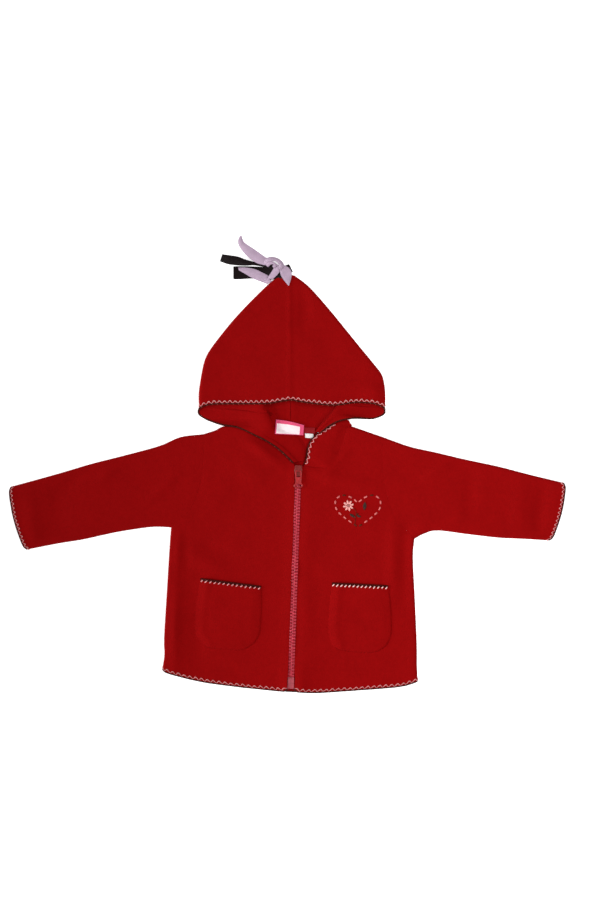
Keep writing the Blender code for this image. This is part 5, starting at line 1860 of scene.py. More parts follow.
    def half(self, side: Side) -> Piece:
        """Make one half: the lens and neck part below, front and back folded above.

        Args:
            side: the half.

        Returns:
            The piece.
        """
        table = np.array(HOOD_ROWS[side])
        rows = len(table)
        columns = np.concatenate([np.linspace(0.0, 3.0, self.crest_columns)[:-1],
                                  np.linspace(3.0, 8.0, self.floor_columns)])
        turn = 1.0 - rim_steps(self.breadth, self.cell, LAY.rim_run, False, True)[::-1]
        fronts = (1.0 - turn)[::-1][:-1]
        climb = rim_steps(self.height, self.cell, LAY.rim_run, False, False) * self.peak_share
        fine = np.linspace(0.0, rows - 1.0, (rows - 1) * self.row_cells + 1)
        lower = self.sections(smooth_at(table, fine), columns)
        ends = self.sections(table[-2:], columns)
        over = self.upper_back(side, np.array([climb[0], climb[2]]), columns)
        knots = np.stack([ends[0], ends[1], over[0], over[1]])
        join = smooth_at(knots, np.linspace(1.0, 2.0, self.row_cells)[1:-1])
        front = self.upper_front(side, climb, fronts)
        back = self.upper_back(side, climb, columns)
        low = np.concatenate([lower, join])
        for part in (low, back):
            x, y = part[..., 0], part[..., 1]
            inside = ease((y - self.lens_y[0]) / 12.0) * ease((self.lens_y[1] - y) / 30.0)
            part[..., 2] += inside * relief_of(LENS_FOLDS, x, y)
        thin = np.ones((len(low) + len(front), len(fronts) + len(columns)))
        tail = ease((lower[:, -1, 2] - 0.8) / 1.2)
        thin[:len(lower), len(fronts):] -= 0.9 * tail[:, None] * ease((columns - 5.0) / 3.0)
        blank = np.repeat(low[:, :1], len(fronts), axis=1)
        grid = np.concatenate([
            np.concatenate([blank, low], axis=1), np.concatenate([front, back], axis=1),
        ])
        keep = np.ones((len(grid) - 1, grid.shape[1] - 1), bool)
        keep[:len(low), :len(fronts)] = False
        self.edges[side] = (low, front)
        piece = self.wardrobe.panel("hood_" + side.word, grid, self.wall, Facing.ROUND, keep, thin)
        self.grids[piece.name] = (piece, grid, keep)
        return piece

    def turn(self) -> Piece:
        """Make the left neck end, outer side up beside the zip's top.

        Returns:
            The piece.
        """
        steps = np.linspace(0.0, len(TURN_ROWS) - 1.0, self.turn_shape[0])
        rows = smooth_at(np.array(TURN_ROWS), steps)
        line = along(smooth(NECKLINE[Side.LEFT], self.outline_places), np.clip(rows[:, 3], 0.0, 1.0))
        seam = np.column_stack([line, LAY.top(line[:, 0], line[:, 1])])
        edge = rows[:, 0:3].copy()
        edge[:, :2] += unit(edge[:, :2] - line) * self.edge_growth
        edge[:, 2] += self.wall + 0.2
        share = np.linspace(0.0, 1.0, self.turn_shape[1])[None, :, None]
        points = edge[:, None] * (1.0 - share) + seam[:, None] * share
        x, y = points[..., 0], points[..., 1]
        bulge = self.turn_bulge + 0.35 * unevenness(x, y, 12.0, 71)
        free = (1.0 - share[..., 0]) * ease(share[..., 0] / 0.3)
        folds = relief_of(NECK_FOLDS, x, y) * free
        points[..., 2] += bulge * np.sin(math.pi * share[..., 0]) + folds
        self.edges["turn"] = points
        piece = self.wardrobe.panel("hood_left_turn", points, self.wall, Facing.UP)
        self.grids[piece.name] = (piece, points, None)
        return piece

    def edging(self) -> None:
        """Overlock the opening all round, with the zigzag where the outer side shows."""
        stitch = Overlock(pitch=6.1, reach=2.7, thread=0.46, lean=0.5, knot=0.6)
        halves, brows = [], []
        for side in (Side.RIGHT, Side.LEFT):
            low, front = self.edges[side]
            lower = CutEdge.of(low[:, 0], low[:, 3], -UP)
            brow = CutEdge.of(front[0], front[2], UP)
            brows.append(brow)
            halves.append(lower.then(brow.reversed()).middle(self.wall, self.wrap_out))
        loop = halves[0].then(halves[1].reversed()).spaced(1.2).rounded(6)
        stitch.sew(self.wardrobe, "hood", [brows[0].reversed().then(brows[1])], [loop], "hood_edging")
        pricks = stitch.pricks("hood_pricks", loop)
        self.wardrobe.dress(pricks, DULL_THREAD, "dark_thread")
        grid = self.edges["turn"]
        edge = CutEdge.of(grid[:, 0], grid[:, 3], UP).part(slice(self.turn_wrapped))
        turned = stitch.sew(self.wardrobe, "hood_turn", [edge],
                            [edge.middle(self.wall, self.wrap_out)], "hood_edging_turn")
        for name, (piece, grid, keep) in self.grids.items():
            on_it = turned if "turn" in name else []
            lay_sheet(piece, grid, on_it, keep)

    def build(self) -> None:
        """Make both halves, the turned neck end and the edging."""
        for side in Side:
            self.half(side)
        self.turn()
        self.edging()


# ---------------------------------------------------------------- pockets
POCKET_LEFT_SIDE = {
    Side.RIGHT: [(-99.0, -206.5), (-105.8, -198.0), (-107.3, -184.6), (-105.6, -160.0),
                 (-101.0, -132.4)],
    Side.LEFT: [(52.0, -209.5), (47.6, -200.0), (46.6, -185.0), (48.0, -160.0),
                (50.2, -137.4)],
}
POCKET_FOOT = {
    Side.RIGHT: [(-99.0, -206.5), (-88.0, -211.6), (-68.0, -213.4), (-52.0, -213.6),
                 (-39.0, -206.4)],
    Side.LEFT: [(52.0, -209.5), (63.0, -214.6), (84.0, -216.8), (102.0, -215.8),
                (113.5, -208.6)],
}
POCKET_RIGHT_SIDE = {
    Side.RIGHT: [(-39.0, -206.4), (-33.2, -196.0), (-31.2, -180.0), (-30.4, -160.0),
                 (-30.8, -141.4)],
    Side.LEFT: [(113.5, -208.6), (118.2, -197.0), (119.0, -180.0), (117.6, -158.0),
                (115.2, -140.6)],
}


@dataclass
class Pocket:
    """A patch pocket, sewn on a front round its sides and foot, with an overlocked mouth."""

    wardrobe: Wardrobe
    side: Side
    wall: float = 1.4
    cell: float = 1.9
    breadth: float = 76.0         # and its height
    outline_places: int = 30
    mouth_places: int = 20
    rest_gap: float = 0.02        # between the front and the pocket's underside
    rise: float = 1.2             # height of its sewn edge over the front
    roll: float = 3.2             # run of that edge's curve
    left_roll: float = 8.0        # and on its left, where it is rolled under
    left_ridge: float = 0.8       # how far that roll stands up
    ridge_half: float = 4.5
    belly: float = 0.9            # further rise towards its middle
    belly_run: float = 12.0
    mouth_gape: float = 0.5       # the mouth stands this much further off the front
    mouth_run: float = 10.0
    stitches: int = 14            # along the mouth
    slant: float = 2.4            # how far each one leans
    band: tuple[float, float] = (0.3, 1.7)   # where the dark threads under them run

    def build(self) -> None:
        """Make the patch and its edging."""
        left = smooth(POCKET_LEFT_SIDE[self.side], self.outline_places)
        right = smooth(POCKET_RIGHT_SIDE[self.side], self.outline_places)
        foot = smooth(POCKET_FOOT[self.side], self.outline_places)
        mouth = np.linspace(left[-1], right[-1], self.mouth_places)
        across = rim_steps(self.breadth, self.cell, self.roll, True, True)
        up = rim_steps(self.breadth, self.cell, self.roll, True, False)
        plan = coons(foot, mouth, left, right, across, up)
        x, y = plan[..., 0], plan[..., 1]
        sewn = np.concatenate([left[::-1], foot, right])
        near = distance_to(x, y, sewn)
        on_left = ease(1.0 - distance_to(x, y, left) / (2.0 * self.left_roll))
        roll = self.roll + (self.left_roll - self.roll) * on_left
        inside = 1.0 - np.minimum(near / roll, 1.0)
        lift = self.rest_gap + 0.05 + self.rise * np.sqrt(1.0 - inside ** 2)
        lift = lift + self.belly * ease(near / self.belly_run)
        from_left = distance_to(x, y, left) - self.left_roll
        lift = lift + self.left_ridge * hump(from_left, self.ridge_half)
        to_mouth = distance_to(x, y, mouth)
        lift = lift + self.mouth_gape * np.exp(-to_mouth / self.mouth_run) * ease(near / 9.0)
        lift = lift + 0.16 * unevenness(x, y, 14.0, 47) * ease(near / 9.0)
        grid = np.dstack([plan, LAY.top(x, y) + lift])
        thin = (lift - self.rest_gap) / self.wall
        patch = self.wardrobe.panel("pocket_" + self.side.word, grid, self.wall, Facing.UP, thin=thin)
        lay_sheet(patch, grid, self.edging(grid))

    def edging(self, grid: Array) -> list[Piece]:
        """Overlock the mouth: dark wraps, and thick pale stitches that lean across them.

        Args:
            grid: the patch's places, with its mouth as the last row.

        Returns:
            The wraps, the band under the stitches and the stitches.
        """
        stitch = Overlock(radius=1.0, reach=3.1, start=0.5, thread=0.72)
        edge = CutEdge.of(grid[-1], grid[-4], UP)
        word = "pocket_edging_" + self.side.word
        binding = stitch.binding(word + "_binding", [edge.middle(self.wall, 0.3)])
        self.wardrobe.dress(binding, DARK_THREAD, "dark_thread", [word])
        ends = edge.part(slice(2, -2))
        band = stitch.band(word + "_band", ends, *self.band)
        self.wardrobe.dress(band, DARK_THREAD, "dark_thread")
        pale = stitch.strokes(word + "_stitches", ends, self.stitches, self.slant, lift=0.45)
        finish = BRIGHT_THREAD if self.side is Side.LEFT else PINK_THREAD
        self.wardrobe.dress(pale, finish, "dark_thread")
        return [binding, band, pale]


# ---------------------------------------------------------------- zip
def add_block(name: str, centre: Sequence[float], size: Sequence[float]) -> Piece:
    """Add a cube primitive of a given size, in millimetres, to be shaped further.

    Args:
        name: its name.
        centre: its middle.
        size: its size.

    Returns:
        The block.
    """
    deselect_all()
    bpy.ops.mesh.primitive_cube_add(size=1.0, location=[value * MM for value in centre],
                                    scale=[value * MM for value in size])
    bpy.ops.object.transform_apply(location=True, rotation=True, scale=True)
    name_piece(bpy.context.object, name)
    return bpy.context.object


def pick(piece: Piece, test: Callable[[Vector], bool]) -> None:
    """Enter edit mode with only the vertices selected whose place, in millimetres, passes.

    Args:
        piece: the piece.
        test: says whether a place is wanted.
    """
    make_active(piece)
    bpy.ops.object.mode_set(mode="EDIT")
    bpy.ops.mesh.select_mode(type="VERT")
    bpy.ops.mesh.select_all(action="DESELECT")
    shell = bmesh.from_edit_mesh(piece.data)
    for vertex in shell.verts:
        vertex.select_set(bool(test(vertex.co / MM)))
    shell.select_flush(True)
    bmesh.update_edit_mesh(piece.data)


def squeeze(piece: Piece, test: Callable[[Vector], bool], scale: Sequence[float],
            about: Sequence[float] = (0.0, 0.0, 0.0)) -> None:
    """Scale some vertices about a place, in millimetres.

    Args:
        piece: the piece.
        test: says whether a place is wanted.
        scale: the factor along each axis.
        about: the place that stays.
    """
    pick(piece, test)
    bpy.ops.transform.resize(value=scale, center_override=[value * MM for value in about])
    bpy.ops.object.mode_set(mode="OBJECT")


def score(piece: Piece, axis: int, places: Sequence[float]) -> None:
    """Cut loops of edges right round a piece, at some places along an axis.

    Args:
        piece: the piece.
        axis: 0 for X, 1 for Y, 2 for Z.
        places: how far along it, in millimetres.
    """
    way = [float(index == axis) for index in range(3)]
    for place in places:
        pick(piece, lambda spot: True)
        bpy.ops.mesh.bisect(plane_co=[place * MM * part for part in way], plane_no=way)
        bpy.ops.object.mode_set(mode="OBJECT")


def round_edges(piece: Piece, width: float, segments: int = 2, angle: float = 35.0) -> None:
    """Bevel a piece's crisp edges by a width in millimetres.

    Args:
        piece: the piece.
        width: the bevel's width.
        segments: how many faces round it off.
        angle: the least turn, in degrees, of a crisp edge.
    """
    bevel = piece.modifiers.new("round", "BEVEL")
    bevel.width = width * MM
    bevel.segments = segments
    bevel.limit_method = "ANGLE"
    bevel.angle_limit = math.radians(angle)
    apply_modifiers(piece)


def combine(piece: Piece, tool: Piece, operation: str) -> None:
    """Join a tool to a piece or cut it out, and remove the tool.

    Args:
        piece: the piece that stays.
        tool: the other one.
        operation: UNION or DIFFERENCE.
    """
    boolean = piece.modifiers.new("combine", "BOOLEAN")
    boolean.operation = operation
    boolean.object = tool
    boolean.solver = "EXACT"
    apply_modifiers(piece)
    bpy.data.objects.remove(tool, do_unlink=True)


def repeat(piece: Piece, count: int, step: float) -> None:
    """Copy a piece along its own Y, a step in millimetres apart.

    Args:
        piece: the piece.
        count: how many there are in the end.
        step: how far apart they are.
    """
    array = piece.modifiers.new("repeat", "ARRAY")
    array.use_relative_offset = False
    array.use_constant_offset = True
    array.constant_offset_displace = (0.0, step * MM, 0.0)
    array.count = count
    apply_modifiers(piece)


@dataclass
class Zip:
    """The open-ended moulded zip, closed: tapes, teeth, box, slider and pull tab."""

    wardrobe: Wardrobe
    tape_base: float = 2.4
    tape_wall: float = 0.6
    tape_half: float = 14.0
    tape_foot: float = 0.6        # above the line's foot
    tape_top: float = -1.5        # above the line's top
    tooth_pitch: float = 3.57
    tooth_base: float = 3.5       # from the line to the tooth's root
    tooth_head: float = 0.95      # from the line to the tooth's head, on the other side
    tooth_wide: float = 2.0
    tooth_waist: float = 0.9      # from the line to where it's narrowest
    tooth_z: tuple[float, float] = (3.3, 6.3)
    first_y: float = -243.4
    last_y: float = -15.6         # no tooth stands above this
    rolls: tuple = ((-122.0, 12.0, 0.26), (-98.0, 9.0, -0.10), (-190.0, 24.0, 0.16),
                    (-60.0, 10.0, 0.12))
    soft_edge: float = 0.42       # width of the rounding on its moulded edges
    crisp: float = 40.0           # degrees past which an edge is shown crisp
    box_size: tuple[float, float, float] = (6.9, 13.2, 3.2)
    groove_width: float = 0.8
    slider_y: float = -7.8
    plate_size: tuple[float, float] = (9.2, 13.0)
    plate_z: tuple[float, float] = (6.3, 7.6)
    stem_size: tuple[float, float] = (7.0, 12.2)   # between the plate and the tape
    bar_lift: float = 1.05
    bridge_drop: float = 0.6      # the bridge's middle below the slider's
    bridge_size: tuple[float, float] = (3.1, 1.1)
    tab_size: tuple[float, float, float] = (8.0, 15.4, 1.1)
    tab_waist: tuple[float, float] = (-9.6, -12.8)  # where it narrows, from its bar
    window_size: tuple[float, float] = (4.3, 6.3)
    ring_y: float = -17.0
    ring_radii: tuple[float, float] = (4.4, 1.0)

    @property
    def turn(self) -> float:
        """Return the line's angle from the Y axis."""
        return -math.atan2(ZIP_TOP[0] - ZIP_FOOT[0], ZIP_TOP[1] - ZIP_FOOT[1])

    def place(self, piece: Piece, y: float, z: float = 0.0, share: float = 1.0) -> None:
        """Set a piece on the zip's line at a height y, turned by a share of the line's turn.

        Args:
            piece: the piece, made round the origin.
            y: the height on the line.
            z: how far up it goes.
            share: 1 to turn as the line is, 0 not to.
        """
        x = zip_x(np.array(y))
        make_active(piece)
        piece.rotation_euler = (0.0, 0.0, self.turn * share)
        piece.location = ((float(x) + GARMENT_SHIFT[0]) * MM, (y + GARMENT_SHIFT[1]) * MM, z * MM)
        bpy.ops.object.transform_apply(location=True, rotation=True, scale=True)

    def fit(self, piece: Piece, y: float, finish: Finish, nodes: Sequence[str] = ()) -> None:
        """Set a part on the line at a height y, turned as the line is, and dress it.

        Args:
            piece: the part.
            y: the height on the line.
            finish: its finish.
            nodes: the solids that it stands for.
        """
        self.place(piece, y)
        shade(piece, self.crisp)
        self.wardrobe.dress(piece, finish, "zip_plastic", nodes)

    def roll(self, y: float) -> float:
        """Return how steeply the closed chain rolls to one side, at a height."""
        return sum(depth * math.exp(-((y - middle) / half) ** 2)
                   for middle, half, depth in self.rolls)

    def tape(self, side: Side) -> None:
        """Make one tape, under its front, with its corded edge at the line.

        Args:
            side: the tape's side.
        """
        sign = side.value
        y = np.linspace(ZIP_FOOT[1] + self.tape_foot, ZIP_TOP[1] + self.tape_top, 90)
        off = np.array([0.15, 1.0, 1.9, 2.7, 3.2, 3.6, 5.0, 8.0, 11.0, self.tape_half])
        cord = np.array([1.5, 1.5, 1.5, 1.4, 1.0, 0.1, 0.0, 0.0, 0.0, 0.0])
        x = zip_x(y)[:, None] + sign * off[None]
        z = self.tape_base + self.tape_wall + cord[None] + 0.0 * x
        grid = np.dstack([x, y[:, None] + 0.0 * x, z])
        name = "zip_tape_" + side.word
        piece = grid_sheet(name + "_weave", grid, self.tape_wall, Facing.UP)
        # The tape lies in the slot's shade, and its light red is painted light.
        self.wardrobe.dress(piece, RED_TAPE_PAINTED_LIGHT, "zip_tape", [name])
        lay_sheet(piece, grid)

    def teeth(self, side: Side) -> None:
        """Model one tooth, then repeat it up its tape.

        Args:
            side: the tape's side.
        """
        low, high = self.tooth_z
        long = self.tooth_base + self.tooth_head
        middle = (self.tooth_base - self.tooth_head) / 2
        name = "zip_chain_" + side.word
        tooth = add_block(name + "_teeth", (middle, 0.0, (low + high) / 2),
                          (long, self.tooth_wide, high - low))
        waist = self.tooth_waist
        score(tooth, 0, (waist, 0.0001))
        squeeze(tooth, lambda place: abs(place.x - waist) < 0.05, (1.0, 0.72, 1.0),
                (waist, 0.0, 0.0))
        squeeze(tooth, lambda place: place.x > 2.9, (1.0, 1.5, 0.84), (0.0, 0.0, low))
        squeeze(tooth, lambda place: place.x < -0.9 and place.z > 5.0, (1.0, 0.85, 0.9),
                (0.0, 0.0, low))
        round_edges(tooth, self.soft_edge, 3)
        half_step = 0.0 if side is Side.LEFT else self.tooth_pitch / 2
        count = int((self.last_y - self.first_y - half_step) / self.tooth_pitch) + 1
        repeat(tooth, count, self.tooth_pitch)
        for vertex in tooth.data.vertices:
            vertex.co.z += vertex.co.x * self.roll(vertex.co.y / MM + self.first_y)
        if side is Side.RIGHT:
            pick(tooth, lambda place: True)
            bpy.ops.transform.resize(value=(-1.0, 1.0, 1.0), center_override=(0.0, 0.0, 0.0))
            bpy.ops.mesh.normals_make_consistent(inside=False)
            bpy.ops.object.mode_set(mode="OBJECT")
        self.fit(tooth, self.first_y + half_step, PINK_PLASTIC, [name])

    def box(self) -> None:
        """Make the box at the foot, with its pin's groove and a raised rim."""
        low = self.tooth_z[0]
        length, height = self.box_size[1:]
        block = add_block("zip_box_block", (0.0, 0.0, low + height / 2), self.box_size)
        squeeze(block, lambda place: place.y < 0.0, (1.06, 1.0, 1.0))
        pick(block, lambda place: place.z > low + 3.0)
        bpy.ops.mesh.inset(thickness=0.9 * MM, depth=0.0)
        bpy.ops.transform.translate(value=(0.0, 0.0, -0.45 * MM))
        bpy.ops.object.mode_set(mode="OBJECT")
        groove = add_block("groove", (0.2, 1.8, low + height), (self.groove_width, length, 1.4))
        combine(block, groove, "DIFFERENCE")
        round_edges(block, 0.35)
        self.fit(block, ZIP_FOOT[1] + self.tape_foot + length / 2, BOX_PLASTIC, ["zip_box"])

    def slider(self) -> None:
        """Make the slider's body and its bridge."""
        low, high = self.plate_z
        plate = add_block("zip_slider_body", (0.0, 0.0, (low + high) / 2),
                          (*self.plate_size, high - low))
        score(plate, 1, (1.0,))
        squeeze(plate, lambda place: place.y < -6.0, (0.78, 1.0, 1.0))
        squeeze(plate, lambda place: place.y > 6.0, (0.84, 1.0, 1.0))
        squeeze(plate, lambda place: abs(place.y) > 6.0 and place.z > high - 0.1,
                (0.92, 0.97, 1.0))
        round_edges(plate, self.soft_edge, 3)
        stem = add_block("stem", (0.0, 0.0, (3.5 + low) / 2 + 0.1), (*self.stem_size, low - 3.3))
        squeeze(stem, lambda place: place.y < 0.0, (0.86, 1.0, 1.0))
        round_edges(stem, 0.3)
        combine(plate, stem, "UNION")
        # The body takes the darker slider plastic, which is partly painted shade for the tab's window.
        self.fit(plate, self.slider_y, SLIDER_PLASTIC_PAINTED_SHADE, ["zip_slider"])
        strap = add_block("zip_slider_bridge", (0.0, -5.0, high - 0.1), (*self.bridge_size, 0.3))
        pick(strap, lambda place: place.z > high - 0.1)
        bpy.ops.mesh.spin(steps=14, angle=math.pi, center=(0.0, 0.0, high * MM),
                          axis=(-1.0, 0.0, 0.0), dupli=False)
        bpy.ops.mesh.select_all(action="SELECT")
        bpy.ops.transform.resize(value=(1.0, 1.0, 0.66), center_override=(0.0, 0.0, high * MM))
        bpy.ops.mesh.remove_doubles(threshold=0.01 * MM)
        bpy.ops.mesh.normals_make_consistent(inside=False)
        bpy.ops.object.mode_set(mode="OBJECT")
        round_edges(strap, self.soft_edge, 3)
        self.fit(strap, self.slider_y - self.bridge_drop, BRIDGE_METAL)

    def pull(self) -> None:
        """Make the pull tab: a bar under the bridge, a window, a waist and a ring."""
        upper, lower = self.tab_waist
        tab = add_block("zip_pull_tab", (0.0, -7.3, 0.0), self.tab_size)
        score(tab, 1, (-3.0, upper, lower))
        squeeze(tab, lambda place: place.y > 0.0, (0.82, 1.0, 1.0))
        squeeze(tab, lambda place: abs(place.y - upper) < 0.1, (0.93, 1.0, 1.0))
        squeeze(tab, lambda place: abs(place.y - lower) < 0.1, (0.84, 1.0, 1.0))
        window = add_block("window", (0.0, -3.95, 0.0), (*self.window_size, 3.0))
        round_edges(window, 0.5, 2, 60.0)
        combine(tab, window, "DIFFERENCE")
        deselect_all()
        ring_radius, wire_radius = self.ring_radii
        bpy.ops.mesh.primitive_torus_add(
            location=(0.0, self.ring_y * MM, 0.0), major_segments=40, minor_segments=10,
            major_radius=ring_radius * MM, minor_radius=wire_radius * MM)
        ring = bpy.context.object
        bpy.ops.object.transform_apply(location=True, rotation=True, scale=True)
        squeeze(ring, lambda place: True, (1.0, 0.59, 0.62), (0.0, self.ring_y, 0.0))
        round_edges(tab, 0.24)
        combine(tab, ring, "UNION")
        self.place(tab, self.slider_y, self.plate_z[1] + self.bar_lift, 0.0)
        shade(tab, self.crisp)
        self.wardrobe.dress(tab, RED_PLASTIC, "zip_plastic", ["zip_pull"], PULL_BODY)

    def build(self) -> None:
        """Make every part of the zip."""
        for side in Side:
            self.tape(side)
            self.teeth(side)
        self.box()
        self.slider()
        self.pull()


# ---------------------------------------------------------------- neck trim
class Surface:
    """The upper side of some pieces, to lay things on."""

    def __init__(self, names: Sequence[str]) -> None:
        """Gather the named pieces' faces.

        Args:
            names: the pieces' names.
        """
        corners, faces = [], []
        for name in names:
            mesh = bpy.data.objects[name].data
            base = len(corners)
            corners.extend(vertex.co / MM for vertex in mesh.vertices)
            faces.extend([base + index for index in face.vertices] for face in mesh.polygons)
        self.tree = BVHTree.FromPolygons(corners, faces)

    def height(self, x: Array, y: Array, start: float, otherwise: float) -> Array:
        """Return the height of what lies below a start height at each place.

        Args:
            x: the places' x.
            y: the places' y.
            start: the height to look down from.
            otherwise: the height where nothing lies below.

        Returns:
            Heights in the shape of x.
        """
        found = np.full(x.shape, otherwise)
        for index in np.ndindex(x.shape):
            origin = (x[index] + GARMENT_SHIFT[0], y[index] + GARMENT_SHIFT[1], start)
            hit = self.tree.ray_cast(origin, (0.0, 0.0, -1.0))[0]
            if hit is not None:
                found[index] = hit.z
        return found


@dataclass(frozen=True)
class Trim:
    """A tape or label that is laid over the neck."""

    name: str
    corners: tuple                # lower left, lower right, upper left and upper right
    flat: tuple[float, float]     # width and height of the flat cut
    bow: float                    # how far the upper edge bows up
    shape: tuple[int, int]        # rows and columns of the grid
    lift: float                   # its underside's height over what it lies on
    finish: Finish
    slot: str
    tilt: float = 0.0             # how far the lower edge stands up

    def plan(self) -> Array:
        """Return a grid of plan places between the four corners.

        Returns:
            Rows, columns and (x, y).
        """
        low_left, low_right, high_left, high_right = (np.array(corner) for corner in self.corners)
        u = np.linspace(0.0, 1.0, self.shape[1])[None, :, None]
        v = np.linspace(0.0, 1.0, self.shape[0])[:, None, None]
        low = low_left * (1 - u) + low_right * u
        high = high_left * (1 - u) + high_right * u
        high[..., 1] += self.bow * np.sin(math.pi * u[..., 0])
        return low * (1 - v) + high * v


TRIMS = [
    Trim("neck_tape", ((-14.0, 35.4), (31.0, 34.9), (-14.0, 41.8), (31.0, 41.6)), (45.0, 6.4),
         0.5, (7, 40), 0.25, LIGHT_TAPE, "neck_tape"),
    Trim("size_label", ((19.8, 30.2), (29.4, 29.6), (19.6, 35.2), (29.2, 34.6)), (9.6, 5.2),
         0.0, (8, 12), 0.9, WHITE_LABEL, "white_label"),
    Trim("neck_label", ((-15.0, 34.5), (17.5, 33.1), (-13.8, 51.2), (18.4, 44.6)), (32.4, 14.2),
         0.9, (18, 34), 1.2, PINK_LABEL, "pink_label", 0.6),
]


@dataclass
class NeckTrim:
    """The tape over the neck seam, the bare neck label and the bare size tab."""

    wardrobe: Wardrobe
    wall: float = 0.5
    crown: float = 0.5            # how far a piece's middle stands above its sides
    under: tuple = ("back_cloth", "hood_left_cloth", "hood_right_cloth")
    above: float = 14.0           # the height to look down from
    ground: float = 2.2           # the height where nothing lies under it
    rounds: int = 6               # of evening out, as a stiff tape spans what it lies on

    def lay(self, trim: Trim, surface: Surface) -> None:
        """Lay a tape or label on what is below it.

        Args:
            trim: the tape or label.
            surface: what is below it.
        """
        plan = trim.plan()
        z = surface.height(plan[..., 0], plan[..., 1], self.above, self.ground)
        for _ in range(self.rounds):
            padded = np.pad(z, 1, mode="edge")
            z = (padded[:-2, 1:-1] + padded[2:, 1:-1] + padded[1:-1, :-2]
                 + padded[1:-1, 2:] + 4.0 * z) / 8.0
        u, v = (share + np.zeros(trim.shape) for share in (
            np.linspace(0.0, 1.0, trim.shape[1])[None], np.linspace(0.0, 1.0, trim.shape[0])[:, None]))
        lift = trim.lift + self.crown * np.sin(math.pi * u) + trim.tilt * (1.0 - v)
        grid = np.dstack([plan, z + lift + self.wall])
        cut = np.dstack([u * trim.flat[0], v * trim.flat[1]])
        piece = grid_sheet(trim.name + "_weave", grid, self.wall, Facing.UP, cut=cut)
        self.wardrobe.dress(piece, trim.finish, trim.slot, [trim.name])
        lay_sheet(piece, grid)

    def build(self) -> None:
        """Lay the tape, the size tab beside it and the label on it."""
        surface = Surface(self.under)
        for trim in TRIMS:
            self.lay(trim, surface)


# ---------------------------------------------------------------- ribbons
@dataclass(frozen=True)
class Strip:
    """A stretch of ribbon between its two edges, each a row of (x, y, z)."""

    name: str
    one: Sequence[tuple[float, float, float]]
    other: Sequence[tuple[float, float, float]]
    lilac: bool
    crown: float = 0.5            # how far its middle stands above its edges
    replaces: str = ""


STRIPS = [
    Strip("ribbon_dark_side",
          [(-63.0, 227.6, 0.9), (-45.0, 227.6, 0.8), (-28.0, 226.8, 1.6), (-15.6, 226.2, 4.2),
           (-6.0, 224.6, 6.4)],
          [(-63.0, 213.2, 0.9), (-58.5, 212.6, 0.8), (-40.0, 213.4, 0.9), (-24.0, 211.8, 2.2),
           (-8.0, 213.4, 6.8)],
          False, 0.3, "ribbon_dark_side"),
    Strip("ribbon_lilac_side",
          [(-57.2, 226.4, 2.4), (-47.0, 226.0, 2.6), (-36.8, 223.8, 2.8), (-22.1, 216.5, 3.2)],
          [(-56.8, 223.1, 2.2), (-48.0, 218.0, 2.2), (-39.9, 213.3, 2.2), (-23.0, 206.8, 2.4)],
          True, 0.6, "ribbon_lilac_side"),
    Strip("ribbon_lilac_fold",
          [(-22.4, 215.8, 4.0), (-21.2, 212.6, 4.2), (-18.4, 210.6, 4.2)],
          [(-27.0, 209.6, 3.4), (-24.6, 207.6, 3.4), (-20.4, 208.4, 3.4)],
          True, 0.5),
    Strip("ribbon_dark_tail",
          [(-9.0, 224.6, 4.4), (-4.4, 227.8, 4.2), (1.4, 229.9, 3.8)],
          [(-6.0, 214.6, 6.6), (0.2, 218.4, 6.0), (5.6, 221.2, 5.0)],
          False, 0.3, "ribbon_dark_tail"),
    Strip("ribbon_dark_long",
          [(-75.6, 241.6, 2.0), (-66.0, 240.0, 3.4), (-57.0, 238.4, 4.4), (-46.3, 234.5, 4.8),
           (-31.7, 231.2, 5.0), (-16.0, 229.6, 5.0), (-8.0, 227.0, 5.0)],
          [(-78.4, 233.2, 2.0), (-69.6, 230.0, 3.2), (-62.4, 228.8, 4.2), (-49.6, 228.0, 4.8),
           (-37.0, 228.2, 5.0), (-20.0, 224.4, 4.8), (-10.0, 219.4, 5.2)],
          False, 0.5, "ribbon_dark_long"),
    Strip("ribbon_lilac_long",
          [(-53.4, 262.8, 4.6), (-51.6, 257.4, 5.4), (-48.8, 253.7, 6.4), (-36.7, 245.5, 7.4),
           (-24.5, 236.7, 7.4), (-16.0, 231.4, 6.8)],
          [(-55.6, 262.2, 4.4), (-57.4, 256.2, 5.2), (-55.6, 249.6, 6.0), (-47.6, 239.6, 6.8),
           (-36.6, 231.2, 6.8), (-23.0, 227.8, 6.4)],
          True, 0.7, "ribbon_lilac_long"),
    Strip("ribbon_lilac_strand",
          [(-13.4, 230.2, 8.4), (-17.8, 222.8, 7.4), (-24.0, 213.2, 5.4)],
          [(-7.6, 226.0, 8.0), (-10.6, 219.4, 7.6), (-17.4, 212.4, 6.0)],
          True, 0.6),
    Strip("ribbon_lilac_tail",
          [(-9.4, 226.2, 9.2), (-9.2, 220.0, 9.6), (-6.4, 213.4, 9.2), (0.4, 204.9, 7.6)],
          [(-5.6, 229.4, 9.0), (2.0, 224.4, 9.0), (4.4, 217.6, 8.6), (1.4, 205.1, 7.5)],
          True, 0.5, "ribbon_lilac_tail"),
]


